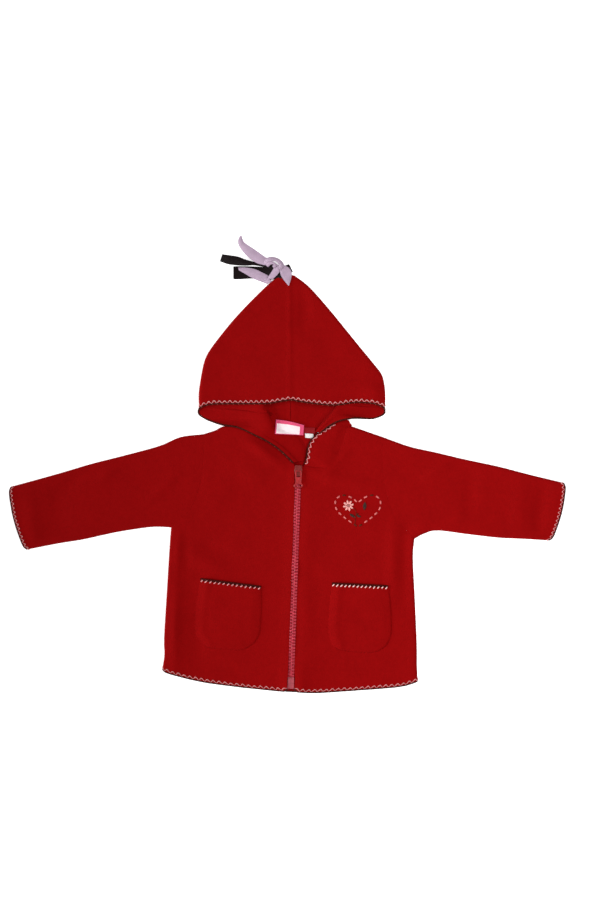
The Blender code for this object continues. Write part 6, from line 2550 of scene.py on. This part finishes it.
@dataclass
class RibbonKnot:
    """Two ribbons, lilac and dark, knotted on the hood's peak."""

    wardrobe: Wardrobe
    wall: float = 0.45
    width: float = 10.0
    steps: int = 40
    columns: int = 9
    knot_path: tuple = ((-25.4, 229.6, 6.6), (-23.6, 233.6, 8.6), (-17.6, 235.4, 9.8),
                        (-11.6, 233.6, 10.0), (-7.6, 228.6, 9.6), (-9.4, 224.0, 8.6))
    loop_path: tuple = ((-24.2, 227.6, 7.6), (-21.0, 230.6, 9.0), (-16.8, 230.8, 9.4),
                        (-14.6, 228.2, 8.8), (-16.8, 226.2, 7.8))

    def strip(self, strip: Strip) -> Piece:
        """Make one stretch of ribbon.

        Args:
            strip: the stretch.

        Returns:
            The piece.
        """
        one, other = smooth(strip.one, self.steps), smooth(strip.other, self.steps)
        share = np.linspace(0.0, 1.0, self.columns)[None, :, None]
        grid = one[:, None] * (1.0 - share) + other[:, None] * share
        ripple = 0.25 * unevenness(grid[..., 0], grid[..., 1], 6.0, len(strip.name))
        grid[..., 2] += (strip.crown + ripple) * np.sin(math.pi * share[..., 0])
        return self.cloth(strip.name, grid, strip.lilac, [strip.replaces] * bool(strip.replaces))

    def cloth(self, name: str, grid: Array, lilac: bool, replaces: Sequence[str]) -> Piece:
        """Give a stretch of ribbon its thickness, its weave and its place on the jacket.

        Args:
            name: the stretch's name.
            grid: its places.
            lilac: whether it is the lilac ribbon.
            replaces: the solids that it stands for.

        Returns:
            The piece.
        """
        run = lengths_along(grid.mean(axis=1))
        across = np.linspace(0.0, self.width, grid.shape[1])
        cut = np.dstack([across[None] + 0.0 * run[:, None], run[:, None] + 0.0 * across[None]])
        piece = grid_sheet(name + "_satin", grid, self.wall, Facing.UP, cut=cut)
        finish, slot = (LILAC_SATIN, "lilac_ribbon") if lilac else (DARK_SATIN, "dark_ribbon")
        self.wardrobe.dress(piece, finish, slot, replaces)
        lay_sheet(piece, grid)
        return piece

    def arch(self, name: str, path: tuple, half: float, flat: float,
             replaces: Sequence[str]) -> Piece:
        """Make the ribbon crushed to a narrow rounded band, where the knot pulls it tight.

        Args:
            name: the piece's name.
            path: the places it goes through.
            half: half its width.
            flat: its thickness over its width.
            replaces: the solids that it stands for.

        Returns:
            The piece.
        """
        line = smooth(path, self.steps)
        radii = half * (1.0 + 0.16 * np.sin(np.linspace(0.0, 9.0, self.steps)))
        piece = threads(name, [(line, radii, np.tile(UP, (self.steps, 1)))], sides=16, flat=flat)
        return self.wardrobe.dress(piece, LILAC_SATIN, "lilac_ribbon", replaces)

    def build(self) -> None:
        """Make every stretch, then the knot over them."""
        for strip in STRIPS:
            self.strip(strip)
        self.arch("ribbon_knot_band", self.knot_path, 2.7, 0.55, ["ribbon_knot"])
        self.arch("ribbon_knot_loop", self.loop_path, 1.9, 0.6, [])


# ---------------------------------------------------------------- embroidery
class Thread(Enum):
    """The embroidery's threads and their finishes."""

    PINK = CORAL_THREAD
    PALE = PALE_THREAD
    GREEN = GREEN_THREAD
    BROWN = BROWN_THREAD
    GREY = GREY_THREAD


@dataclass(frozen=True)
class Leaf:
    """An oval leaf of slanted stitches, side by side."""

    thread: Thread
    middle: tuple[float, float]
    length: float
    width: float
    angle: float                  # of its length from the X axis, in radians


LEAVES = [
    Leaf(Thread.GREEN, (88.2, -48.4), 9.0, 4.6, 1.45),
    Leaf(Thread.GREEN, (74.0, -59.4), 7.2, 3.4, -0.62),
    Leaf(Thread.GREEN, (81.4, -60.0), 4.4, 3.0, -0.5),
    Leaf(Thread.BROWN, (79.4, -57.8), 3.6, 2.2, 0.4),
]


@dataclass
class HeartEmbroidery:
    """A running-stitch heart round a daisy, leaves and a stem, on the left front.

    Every stitch comes from a formula: the outline is a heart curve, the daisy is petals at
    equal turns, and each leaf is a row of stitches as long as an oval is wide.
    """

    wardrobe: Wardrobe
    centre: tuple[float, float] = (80.4, -50.9)
    size: tuple[float, float] = (26.4, 1.27)
    spread: float = 1.95          # how far in its lobes stand
    stitch_pitch: float = 7.5
    stitch_length: float = 4.6
    daisy: tuple[float, float] = (69.5, -47.8)
    petals: int = 8
    petal_reach: tuple[float, float] = (1.3, 6.5)
    knots: int = 5                # at the daisy's middle
    leaf_pitch: float = 0.62      # between a leaf's stitches
    stem_path: tuple = ((75.6, -50.6), (78.2, -55.0), (77.6, -62.0), (76.9, -69.0))
    strands: dict = field(default_factory=lambda: {thread: [] for thread in Thread})

    def stitch(self, thread: Thread, start: Array, end: Array, half: float = 0.36,
               loft: float = 0.45) -> None:
        """Sew one thread from place to place, rising from the cloth and into it again.

        Args:
            thread: the thread.
            start: where it comes up.
            end: where it goes down.
            half: half its thickness.
            loft: how far it stands up.
        """
        share = np.linspace(0.0, 1.0, 9)
        plan = np.asarray(start)[None] * (1 - share[:, None]) + np.asarray(end)[None] * share[:, None]
        ground = LAY.top(plan[:, 0], plan[:, 1])
        height = ground - 0.05 + loft * np.sin(math.pi * share) ** 0.5
        path = np.column_stack([plan, height])
        self.strands[thread].append((path, round_ends(path, half), np.tile(UP, (len(path), 1))))

    def bundle(self, thread: Thread, start: Array, end: Array, count: int, gap: float,
               half: float = 0.36, shorter: float = 0.25) -> None:
        """Sew threads side by side, the outer ones a little shorter.

        Args:
            thread: the thread.
            start: where the stitches start.
            end: where they end.
            count: how many there are.
            gap: how far apart they are.
            half: half their thickness.
            shorter: how much shorter each is than the one inside it.
        """
        start, end = np.asarray(start, float), np.asarray(end, float)
        run = (end - start) / np.linalg.norm(end - start)
        side = np.array([-run[1], run[0]])
        for index in range(count):
            off = index - (count - 1) / 2
            trim = shorter * abs(off)
            self.stitch(thread, start + side * gap * off + run * trim,
                        end + side * gap * off - run * trim, half)

    def outline(self) -> None:
        """Sew the heart's dashes, dark ones at the lobes' tops and at the point."""
        t = np.linspace(0.0, 2.0 * math.pi, 900)
        x = self.size[0] * np.sign(np.sin(t)) * np.abs(np.sin(t)) ** self.spread
        y = self.size[1] * (13 * np.cos(t) - 5 * np.cos(2 * t) - 2 * np.cos(3 * t) - np.cos(4 * t))
        curve = np.column_stack([x, y]) + np.array(self.centre)
        run = lengths_along(curve)
        count = int(round(run[-1] / self.stitch_pitch))
        pitch = run[-1] / count
        for index in range(count):
            middle = (index + 0.5) * pitch
            ends = [np.array([np.interp(middle + shift, run, axis) for axis in curve.T])
                    for shift in (-self.stitch_length / 2, self.stitch_length / 2)]
            from_notch = min(index, count - 1 - index)
            brown = from_notch == 2 or from_notch == (count - 1) // 2
            thread = Thread.BROWN if brown else Thread.PINK
            self.bundle(thread, ends[0], ends[1], 3, 0.5, 0.34, 0.3)

    def flower(self) -> None:
        """Sew the daisy: petals at equal turns, then knots at its middle."""
        middle = np.array(self.daisy)
        for index in range(self.petals):
            angle = 2.0 * math.pi * (index + 0.3) / self.petals
            way = np.array([math.cos(angle), math.sin(angle)])
            near, far = (middle + way * reach for reach in self.petal_reach)
            self.bundle(Thread.PALE, near, far, 3, 0.62, 0.44, 0.6)
        for index in range(self.knots):
            angle = 2.0 * math.pi * index / self.knots
            way = np.array([math.cos(angle), math.sin(angle)])
            self.stitch(Thread.GREY, middle + way * 0.3, middle + way * 1.6, 0.4, 0.9)

    def leaf(self, leaf: Leaf) -> None:
        """Sew a leaf, each stitch as long as an oval is wide there.

        Args:
            leaf: the leaf.
        """
        way = np.array([math.cos(leaf.angle), math.sin(leaf.angle)])
        side = np.array([-way[1], way[0]])
        count = max(4, int(leaf.length / self.leaf_pitch))
        for index in range(count):
            share = (index + 0.5) / count
            half = leaf.width / 2 * math.sin(math.pi * share) ** 0.7
            base = np.array(leaf.middle) + way * leaf.length * (share - 0.5)
            self.stitch(leaf.thread, base - side * half - way * 0.4, base + side * half + way * 0.4)

    def stem(self) -> None:
        """Sew the stem in short stitches, end to end."""
        places = smooth(self.stem_path, 9)
        for start, end in zip(places, places[1:]):
            self.stitch(Thread.BROWN, start, end, 0.34, 0.3)

    def build(self) -> None:
        """Sew the whole motif, one piece for each thread."""
        self.outline()
        self.flower()
        for leaf in LEAVES:
            self.leaf(leaf)
        self.stem()
        for thread, strands in self.strands.items():
            piece = threads("embroidery_" + thread.name.lower(), strands, sides=6)
            self.wardrobe.dress(piece, thread.value, "dark_thread")


# ---------------------------------------------------------------- studio
@dataclass
class Studio:
    """A plain pale floor, soft light and a camera straight above."""

    centre: tuple[float, float] = (14.02, 17.17)   # middle of the view, in millimetres
    view_length: float = 1035.0                    # length of floor in the view
    camera_height: float = 3.0
    cloth_level: float = 0.005                     # height at which the view is measured
    sensor: float = 36.0

    def camera(self) -> None:
        """Put the camera straight above, with the hood at the top of its view."""
        data = bpy.data.cameras.new("camera")
        data.sensor_width = self.sensor
        reach = self.camera_height - self.cloth_level
        data.lens = self.sensor * reach / (self.view_length * MM)
        camera = bpy.data.objects.new("camera", data)
        camera.location = (self.centre[0] * MM, self.centre[1] * MM, self.camera_height)
        bpy.context.scene.collection.objects.link(camera)
        bpy.context.scene.camera = camera

    def floor(self) -> None:
        """Lay the floor."""
        deselect_all()
        bpy.ops.mesh.primitive_plane_add(size=12.0, location=(0.0, 0.0, -0.0002))
        floor = bpy.context.object
        bpy.ops.object.transform_apply(location=True, rotation=True, scale=True)
        name_piece(floor, "studio_floor")
        floor.data.materials.append(FloorFinish("pale_floor", (0.93, 0.93, 0.93, 1.0)).material())

    def soft_box(self, name: str, place: tuple[float, float, float], aim: tuple[float, float],
                 size: tuple[float, float], power: float, glossy: bool = True) -> None:
        """Hang a large soft light.

        Args:
            name: the light's name.
            place: its middle.
            aim: the place on the floor that it faces.
            size: its width and length.
            power: its power in watts.
            glossy: whether shiny surfaces reflect it.
        """
        data = bpy.data.lights.new(name, "AREA")
        data.shape = "RECTANGLE"
        data.size, data.size_y = size
        data.energy = power
        light = bpy.data.objects.new(name, data)
        light.location = place
        facing = Vector(place) - Vector((aim[0], aim[1], 0.0))
        light.rotation_euler = facing.to_track_quat("Z", "Y").to_euler()
        light.visible_glossy = glossy
        bpy.context.scene.collection.objects.link(light)

    def lights(self) -> None:
        """Light the garment from low on its right and from near above, with an even fill."""
        self.soft_box("key", (-8.4, -1.6, 2.95), (0.0, 0.0), (5.2, 5.2), 1060.0)
        self.soft_box("overhead", (0.20, -0.05, 0.66), (0.20, -0.05), (0.3, 1.2), 6.6, False)
        world = bpy.data.worlds.new("studio")
        world.use_nodes = True
        fill = world.node_tree.nodes["Background"]
        fill.inputs["Color"].default_value = (1.0, 1.0, 1.0, 1.0)
        fill.inputs["Strength"].default_value = 0.25
        bpy.context.scene.world = world
        bpy.context.scene.view_settings.view_transform = "Standard"

    def build(self) -> None:
        """Set the camera, the floor and the lights."""
        self.camera()
        self.floor()
        self.lights()


def main() -> None:
    """Load the frame and build the jacket's sub-assemblies round it, in order."""
    logging.basicConfig(level=logging.INFO, format="%(name)s %(message)s")
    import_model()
    wardrobe = Wardrobe()
    Studio().build()
    Body(wardrobe).build()
    for side in Side:
        Sleeve(wardrobe, side).build()
    for side in Side:
        Pocket(wardrobe, side).build()
    Hood(wardrobe).build()
    Zip(wardrobe).build()
    NeckTrim(wardrobe).build()
    RibbonKnot(wardrobe).build()
    HeartEmbroidery(wardrobe).build()


if __name__ == "__main__":
    main()
